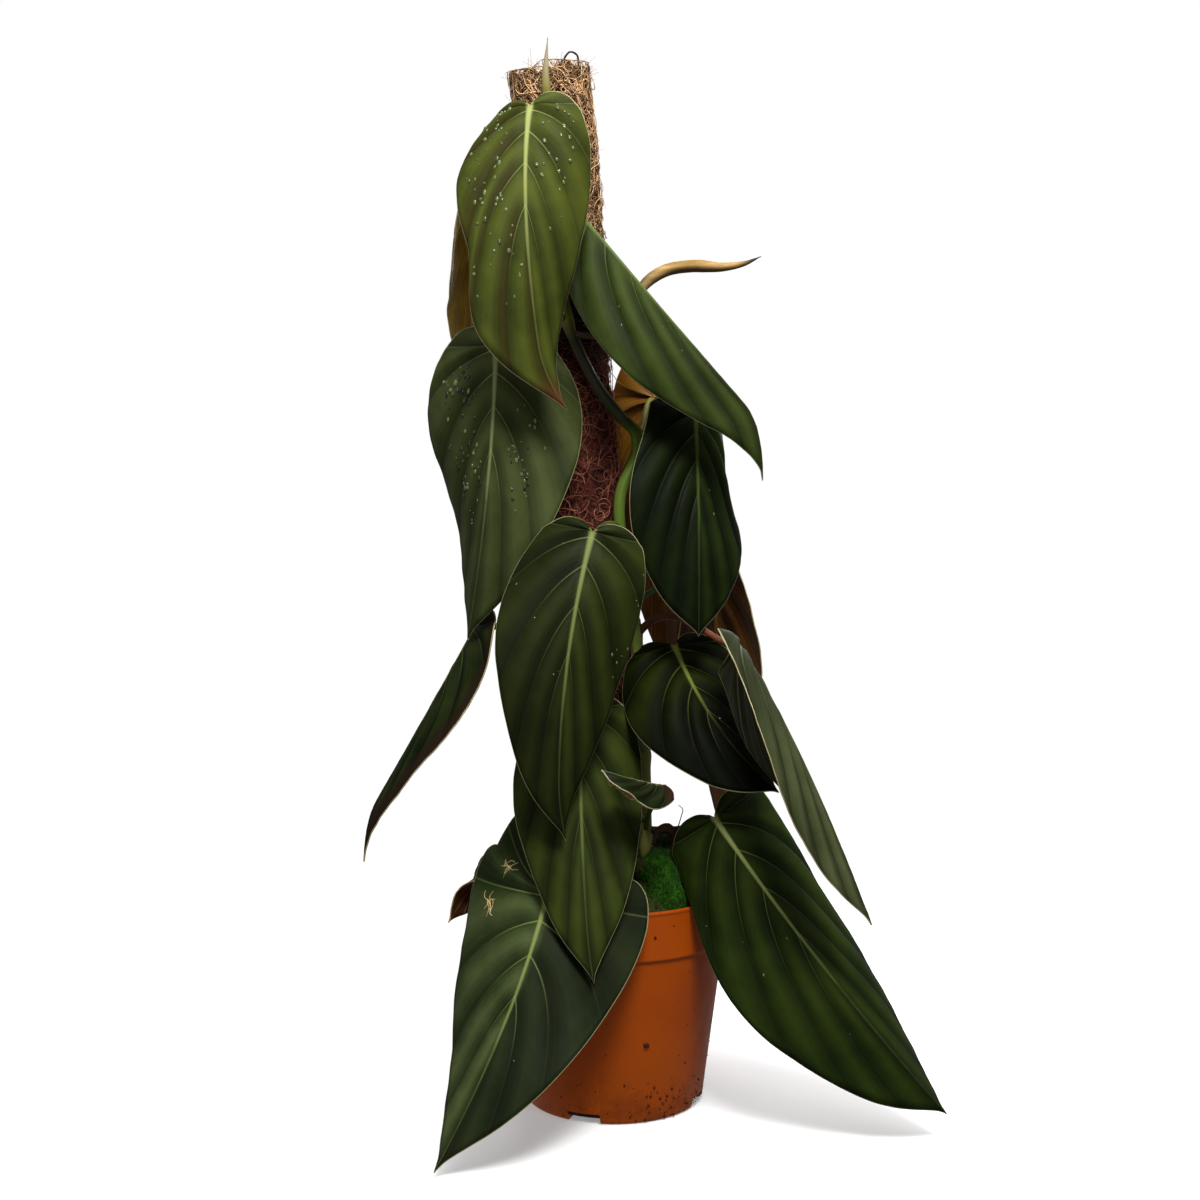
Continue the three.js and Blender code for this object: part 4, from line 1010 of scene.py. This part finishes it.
def pot():
    turns = 2 * pi * np.arange(POT_SIDES) / POT_SIDES
    verts = [(r * cos(a), r * sin(a), z) for r, z in POT_PROFILE for a in turns]
    faces = ring_faces(len(POT_PROFILE), POT_SIDES) + end_caps(len(POT_PROFILE), POT_SIDES)
    ob = make("pot_fine", verts, faces, [pot_material()], "terracotta_plastic")
    for i in range(NOTCHES):
        cut_notch(ob, radians(FIRST_NOTCH + 360 / NOTCHES * i))
    ob.data.set_sharp_from_angle(angle=radians(50))
    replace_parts(ob, "pot")


def ball(down, turn):
    """A point of a ball by its angles from the top and round it."""
    return np.array([sin(down) * cos(turn), sin(down) * sin(turn), cos(down)])


def speck(centre, size, seed, sides=6, rings=3):
    """A small uneven crumb."""
    r = np.random.default_rng(seed)
    verts = []
    for i in range(rings + 1):
        for j in range(sides):
            point = ball(pi * i / rings, 2 * pi * (j + 0.5 * (i % 2)) / sides)
            verts.append(centre + size * (1 + 0.3 * r.uniform(-1, 1)) * point * (1, 1, 0.8))
    return verts, ring_faces(rings + 1, sides)


def pot_radius(z):
    if z > 124:
        return 84 + 0.4 * (z - 125) / 32
    return 66.5 + (82 - 66.5) * (z - 4) / 120


def pot_specks():
    """Soil on the pot: three clear spots, a spray at the lower right and fine dust all round."""
    r = np.random.default_rng(5)
    places = [(radians(-72), 61, 2.3), (radians(-84), 31, 1.1), (radians(-70), 142, 1.2)]
    for _ in range(46):
        places.append((radians(r.normal(-52, 14)), 2 + abs(r.normal(0, 16)), r.uniform(0.4, 1.3)))
    for _ in range(240):
        low = r.uniform() < 0.75
        z = 2 + abs(r.normal(0, 20)) if low else r.uniform(10, 155)
        if z < 122 or 127 < z < 156:
            places.append((r.uniform(-pi, pi), z, r.uniform(0.25, 0.6) * (1.6 if r.uniform() < 0.12 else 1)))
    bag = Bag()
    for n, (a, z, size) in enumerate(places):
        radius = pot_radius(z)
        bag.add(*speck((radius * cos(a), radius * sin(a), z), size, n))
    bag.make("pot_soil_specks", plain_material("soil_specks", (44, 20, 10), (80, 36, 16), 300, 0.9), "soil")


pot()
pot_specks()


# Soil and moss
POLE_FOOT_X = 13
POLE_LEAN = 0.0778
MOSS_RADIUS = 81.5
MOSS_FOOT = 146.4
CUSHION = np.array([36, -38, 156])
CUSHION_SIZE = np.array([28, 28, 37])
CUSHION_TUFTS = 9500
GOLDEN_TURN = pi * (3 - sqrt(5))
BED_TUFTS = 9000
CLUMP_TUFTS = 3600
CLUMP = (47, -14)


def pole_x(z):
    return POLE_FOOT_X - POLE_LEAN * z


def paint(node, mat):
    """Gives a material to a node of the frame that no finer piece replaces."""
    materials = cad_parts[node].data.materials
    materials.clear()
    materials.append(mat)


def moss_height(share, angle):
    mound = 50 * (1 - share ** 2)
    lumps = 2.6 * np.sin(3 * angle + 7 * share) + 1.8 * np.sin(7 * angle - 5 * share)
    return 146 + 7 + mound + lumps * share + 4 * share * np.sin(angle)


def spike(base, tip, width, bag, tint):
    """A three-sided tuft of moss."""
    base, tip = np.asarray(base, float), np.asarray(tip, float)
    a = unit(np.cross(tip - base, [0.3, 0.9, 0.2]))
    b = unit(np.cross(tip - base, a))
    foot = [base + width * (cos(q) * a + sin(q) * b) for q in (0, 2.1, 4.2)]
    bag.add([*foot, tip], [(0, 1, 3), (1, 2, 3), (2, 0, 3)], tint)


def moss_bed():
    rings, sides = 44, 180
    share = np.linspace(1, 0.1, rings)[:, None]
    angle = (2 * pi * np.arange(sides) / sides)[None, :]
    x, y = MOSS_RADIUS * share * np.cos(angle), MOSS_RADIUS * share * np.sin(angle)
    bumps = 1.6 * np.sin(0.5 * x + 1) * np.sin(0.45 * y) + 1.1 * np.sin(1.1 * x - 0.7 * y)
    bumps = bumps + 0.7 * np.sin(1.7 * y + x)
    z = moss_height(share, angle) + bumps * 0.8
    skirt = np.stack([x[0], y[0], np.full(sides, MOSS_FOOT)], -1)
    verts = np.concatenate([skirt, np.stack([x, y, z], -1).reshape(-1, 3)])
    mat = moss_material("dark_moss_bed", 120, (26, 24, 12), (58, 66, 26), 500, (62, 46, 28))
    dress("moss_bed", verts, ring_faces(rings + 1, sides), mat, "dark_moss")


def moss_tufts():
    """Short tufts all over the bed, but not under the pole or the cushion."""
    bag = Bag()
    r = np.random.default_rng(3)
    for _ in range(BED_TUFTS):
        share, a = sqrt(r.uniform(0.14, 0.99)), r.uniform(0, 2 * pi)
        x, y = 81 * share * cos(a), 81 * share * sin(a)
        z = float(moss_height(share, a))
        if hypot(x - pole_x(z), y) < 28 or hypot(x - CUSHION[0], y - CUSHION[1]) < 25:
            continue
        lean = r.normal(0, 0.5, 3)
        size = r.uniform(1.6, 4.2)
        up = unit(np.array([lean[0], lean[1], 1 + 0.3 * lean[2]]))
        spike((x, y, z - 0.8), np.array([x, y, z]) + up * size, 0.5, bag, r.uniform())
    mat = tuft_material("dark_moss_tufts", (30, 34, 14), (78, 88, 34), 0.85,
                        patches=(30, 0.5, 0.7, None, (70, 52, 30)))
    bag.make("moss_bed_tufts", mat, "dark_moss")


def on_cushion(point):
    """The place on the lumpy cushion of a point of a ball."""
    x, y, _ = point
    coarse = 0.07 * sin(7 * x + 4 * y + 3) * sin(6 * y - 4 * x)
    return CUSHION + CUSHION_SIZE * point * (1 + coarse + 0.04 * sin(14 * x + 1) * sin(13 * y))


def moss_cushion():
    rings, sides = 60, 120
    verts = np.array([on_cushion(ball(0.62 * pi * i / rings, 2 * pi * j / sides))
                      for i in range(rings + 1) for j in range(sides)])
    reach = np.hypot(verts[:, 0], verts[:, 1])
    verts[:, :2] *= np.where(reach > 80.5, 80.5 / reach, 1)[:, None]
    mat = moss_material("bright_moss_cushion", 140, (8, 24, 1), (28, 66, 4), 520)
    dress("moss_cushion", verts, ring_faces(rings + 1, sides, inward=True), mat, "bright_moss")


def cushion_tufts():
    """Vivid tufts, spread evenly over the cushion and taller in patches."""
    bag = Bag()
    r = np.random.default_rng(4)
    for i in range(CUSHION_TUFTS):
        x, y, z = point = ball(acos(1 - 1.25 * (i + 0.5) / CUSHION_TUFTS), GOLDEN_TURN * i)
        p = on_cushion(point)
        if hypot(p[0], p[1]) > 79 or p[2] < 150:
            continue
        d = unit(np.array([x, y, 0.8 * z + 0.35]) + r.normal(0, 0.45, 3))
        patch = max(0, sin(16 * x + 3 * y) * sin(15 * y + 2))
        tip = p + d * (1 + 0.8 * patch) * r.uniform(1.0, 3.0)
        spike(p - d, tip, 0.42, bag, r.uniform() * (0.5 + 0.5 * patch))
    mat = tuft_material("bright_moss_tufts", (12, 38, 2), (66, 128, 10), 0.7)
    bag.make("moss_cushion_tufts", mat, "bright_moss")


def moss_clump():
    """Taller dark moss that rises behind the bright cushion."""
    bag = Bag()
    r = np.random.default_rng(14)
    for _ in range(CLUMP_TUFTS):
        x, y = CLUMP[0] + 15 * r.normal(0, 0.5), CLUMP[1] + 20 * r.normal(0, 0.5)
        far = hypot((x - CLUMP[0]) / 22, (y - CLUMP[1]) / 28)
        if far > 1 or hypot(x - pole_x(200), y) < 29 or hypot(x, y) > 78:
            continue
        ground = float(moss_height(hypot(x, y) / MOSS_RADIUS, atan2(y, x)))
        top = ground + 13 * (1 - far ** 2) * (0.8 + 0.2 * sin(0.9 * x) * sin(0.8 * y))
        low = ground + (top - ground) * r.uniform(0, 1) ** 0.4
        d = unit(np.array([r.normal(0, 0.6), r.normal(0, 0.6), 1]))
        tip = np.array([x, y, low]) + d * r.uniform(0.5, 2.5)
        spike((x, y, max(ground - 1, low - 5)), tip, 0.8, bag, r.uniform())
    bag.make("moss_clump", tuft_material("dark_moss_clump", (18, 26, 7), (52, 66, 20), 0.9), "dark_moss")


SPROUT = [
    ([[40, -42, 188], [43, -44, 202], [39, -46, 213], [31, -46, 210], [28, -45, 200]], 30, 10, 0.3,
     lambda s: 1.2 + 3.2 * np.sin(pi * s) ** 2, lambda a, q: 0.5 + 0.5 * np.abs(np.sin(a + 3 * q))),
    ([[46, -40, 188], [49, -42, 203], [55, -43, 209], [61, -43, 203], [62, -42, 197]], 28, 9, 0.6,
     lambda s: 1.1 + 2.0 * np.sin(pi * s), lambda a, q: 0.6 + 0.4 * np.abs(np.sin(1.5 * a + 5 * q))),
    ([[43, -43, 198], [45, -44, 210], [48, -45, 221], [49, -45, 226], [46, -45, 229]], 30, 6, 0.9,
     lambda s: 0.55 - 0.25 * s, None),
]


def dead_sprout():
    """A withered shoot of two parts and a thin tendril that stand in the moss."""
    bag = Bag()
    for points, steps, sides, tint, radius, profile in SPROUT:
        bag.add(*tube(centripetal(points, steps), radius(np.linspace(0, 1, steps)), sides, profile), tint)
    mat = tuft_material("withered_shoot", (44, 28, 16), (84, 62, 38), 0.85,
                        patches=(200, 0.4, 0.7, 0.6, (32, 22, 13)), grain=(500, 3), bump=(0.6, 0.001))
    bag.make("dead_sprout", mat, "dark_moss")


paint("potting_soil", plain_material("potting_soil_crumb", (30, 20, 12), (62, 44, 28), 260, 0.95,
                                     0.9, 0.002, 420))
paint("pole_core", plain_material("pole_core_plastic", (120, 116, 108), (96, 90, 80), 60, 0.6))
moss_bed()
moss_tufts()
moss_cushion()
cushion_tufts()
moss_clump()
dead_sprout()


# Coir pole
SLEEVE_FOOT = 70
SLEEVE_TOP = 748
FINE_FOOT = 140
TOP_ENDS = 520
HIGHEST_END = 760
SLEEVE_HOLLOW = ((22, 1), (15, -1), (13, -8), (12, -14))


def sleeve_radius(z, angle):
    i = (z - SLEEVE_FOOT) / (SLEEVE_TOP - SLEEVE_FOOT) * 18
    uneven = np.sin(2.3 * i + 1.7 * np.cos(angle)) + np.sin(3 * angle + 0.9 * i)
    return 28 + 1.3 * (0.5 * uneven - 1)


def sunk(angle):
    """How far the top of the sleeve has sagged; the left side most."""
    return 1 + 6 * smooth((-np.cos(angle) - 0.1) / 0.4)


def coir_sleeve():
    """The woolly wrap with a ragged top; from its top it goes in and down round the core."""
    rings, sides = 260, 120
    z = np.linspace(FINE_FOOT, SLEEVE_TOP, rings)[:, None]
    a = (2 * pi * np.arange(sides) / sides)[None, :]
    frayed = (3.0 * np.sin(5 * a) + 2.0 * np.sin(11 * a + 1) - sunk(a)) * smooth((z - 722) / 26)
    wool = 0.5 * np.sin(0.9 * z + 5 * np.sin(3 * a)) + 0.5 * np.sin(7 * a + 0.21 * z)
    wool = wool + 0.35 * np.sin(23 * a - 0.5 * z)
    radius = sleeve_radius(z, a) - 0.6 + 0.5 * wool
    z = z + frayed
    verts = np.stack([pole_x(z) + radius * np.cos(a), radius * np.sin(a), z], -1)
    hollow = []
    for radius, rise in SLEEVE_HOLLOW:
        ring = verts[-1].copy()
        ring[:, 0] = pole_x(ring[:, 2]) + radius * np.cos(a[0])
        ring[:, 1] = radius * np.sin(a[0])
        ring[:, 2] += rise
        hollow.append(ring)
    verts = np.concatenate([verts, hollow])
    dress("coir_sleeve", verts.reshape(-1, 3), ring_faces(len(verts), sides), sleeve_material(), "coir")


def fibre(r, z, angle, length, curl, lift, radius, bag, tint, sway=0.0, steps=11):
    """One fibre that wanders over the pole's surface and arches off it."""
    heading = r.uniform(0, 2 * pi)
    turn = r.normal(0, curl)
    points = []
    base = r.uniform(-0.2, 0.9)
    stride = length / steps
    for s in np.linspace(0, 1, steps):
        rad = float(sleeve_radius(z, angle)) + base + lift * sin(pi * s) + sway * s ** 2
        points.append((pole_x(z) + rad * cos(angle), rad * sin(angle), z))
        heading += turn * stride
        turn += r.normal(0, curl * 0.6)
        angle += cos(heading) * stride / rad
        z = min(z + sin(heading) * stride, 752 - float(sunk(angle)))
    verts, faces = tube(np.array(points), np.linspace(radius, radius * 0.6, steps), 3)
    bag.add(verts, faces[:-2], tint)


def coir_fibres():
    """Red fibres below and golden ones above, then stray ends and some thick golden fibres."""
    r = np.random.default_rng(8)
    low, high = Bag(), Bag()

    def wind(bag, count, heights, lengths, curl, lift, radii, tint):
        for _ in range(count):
            z, angle, length = r.uniform(*heights), r.uniform(-pi, pi), r.uniform(*lengths)
            fibre(r, z, angle, length, curl, abs(r.normal(0, lift)), r.uniform(*radii), bag, tint())

    wind(low, 3000, (185, 640), (12, 40), 0.09, 1.4, (0.2, 0.34), lambda: r.uniform() ** 2)
    wind(high, 2700, (610, 747), (14, 46), 0.12, 1.3, (0.22, 0.42), lambda: r.uniform() ** 1.8)
    for _ in range(70):
        z, angle, length = r.uniform(560, 740), r.uniform(-pi, pi), r.uniform(8, 26)
        fibre(r, z, angle, length, 0.1, 1.0, 0.16, high, r.uniform(0, 0.5), sway=r.uniform(3, 9))
    wind(high, 150, (700, 742), (22, 60), 0.16, 1.8, (0.42, 0.6), lambda: r.uniform(0.7, 1))
    mat = fibre_material()
    low.make("coir_fibres_lower", mat, "coir")
    high.make("coir_fibres_upper", mat, "coir")


def coir_top():
    """Frayed ends that stand up at the top, pale at the middle."""
    r = np.random.default_rng(9)
    bag = Bag()
    s = np.linspace(0, 1, 7)[:, None]
    for _ in range(TOP_ENDS):
        a, rad = r.uniform(-pi, pi), r.uniform(9, 27.5)
        z = 744 + 3.0 * sin(5 * a) - float(sunk(a))
        d = unit(np.array([r.normal(0, 0.6), r.normal(0, 0.6), r.uniform(0.1, 0.7)]))
        size = r.uniform(5, 12)
        side = r.normal(0, 0.7, 3)
        foot = np.array([pole_x(z) + rad * cos(a), rad * sin(a), z])
        path = foot + d * size * s + side * size * 0.5 * s ** 2
        path[:, 2] = np.minimum(path[:, 2], HIGHEST_END)
        verts, faces = tube(path, np.linspace(0.24, 0.12, 7), 3)
        bag.add(verts, faces[:-2], float(np.clip(1.1 - rad / 30 + r.normal(0, 0.2), 0, 1)))
    mat = tuft_material("coir_fluff", (160, 112, 58), (226, 206, 176), 0.9,
                        grain=(900, 2), bump=(0.2, 0.0003))
    bag.make("coir_top_fluff", mat, "coir")


coir_sleeve()
coir_fibres()
coir_top()
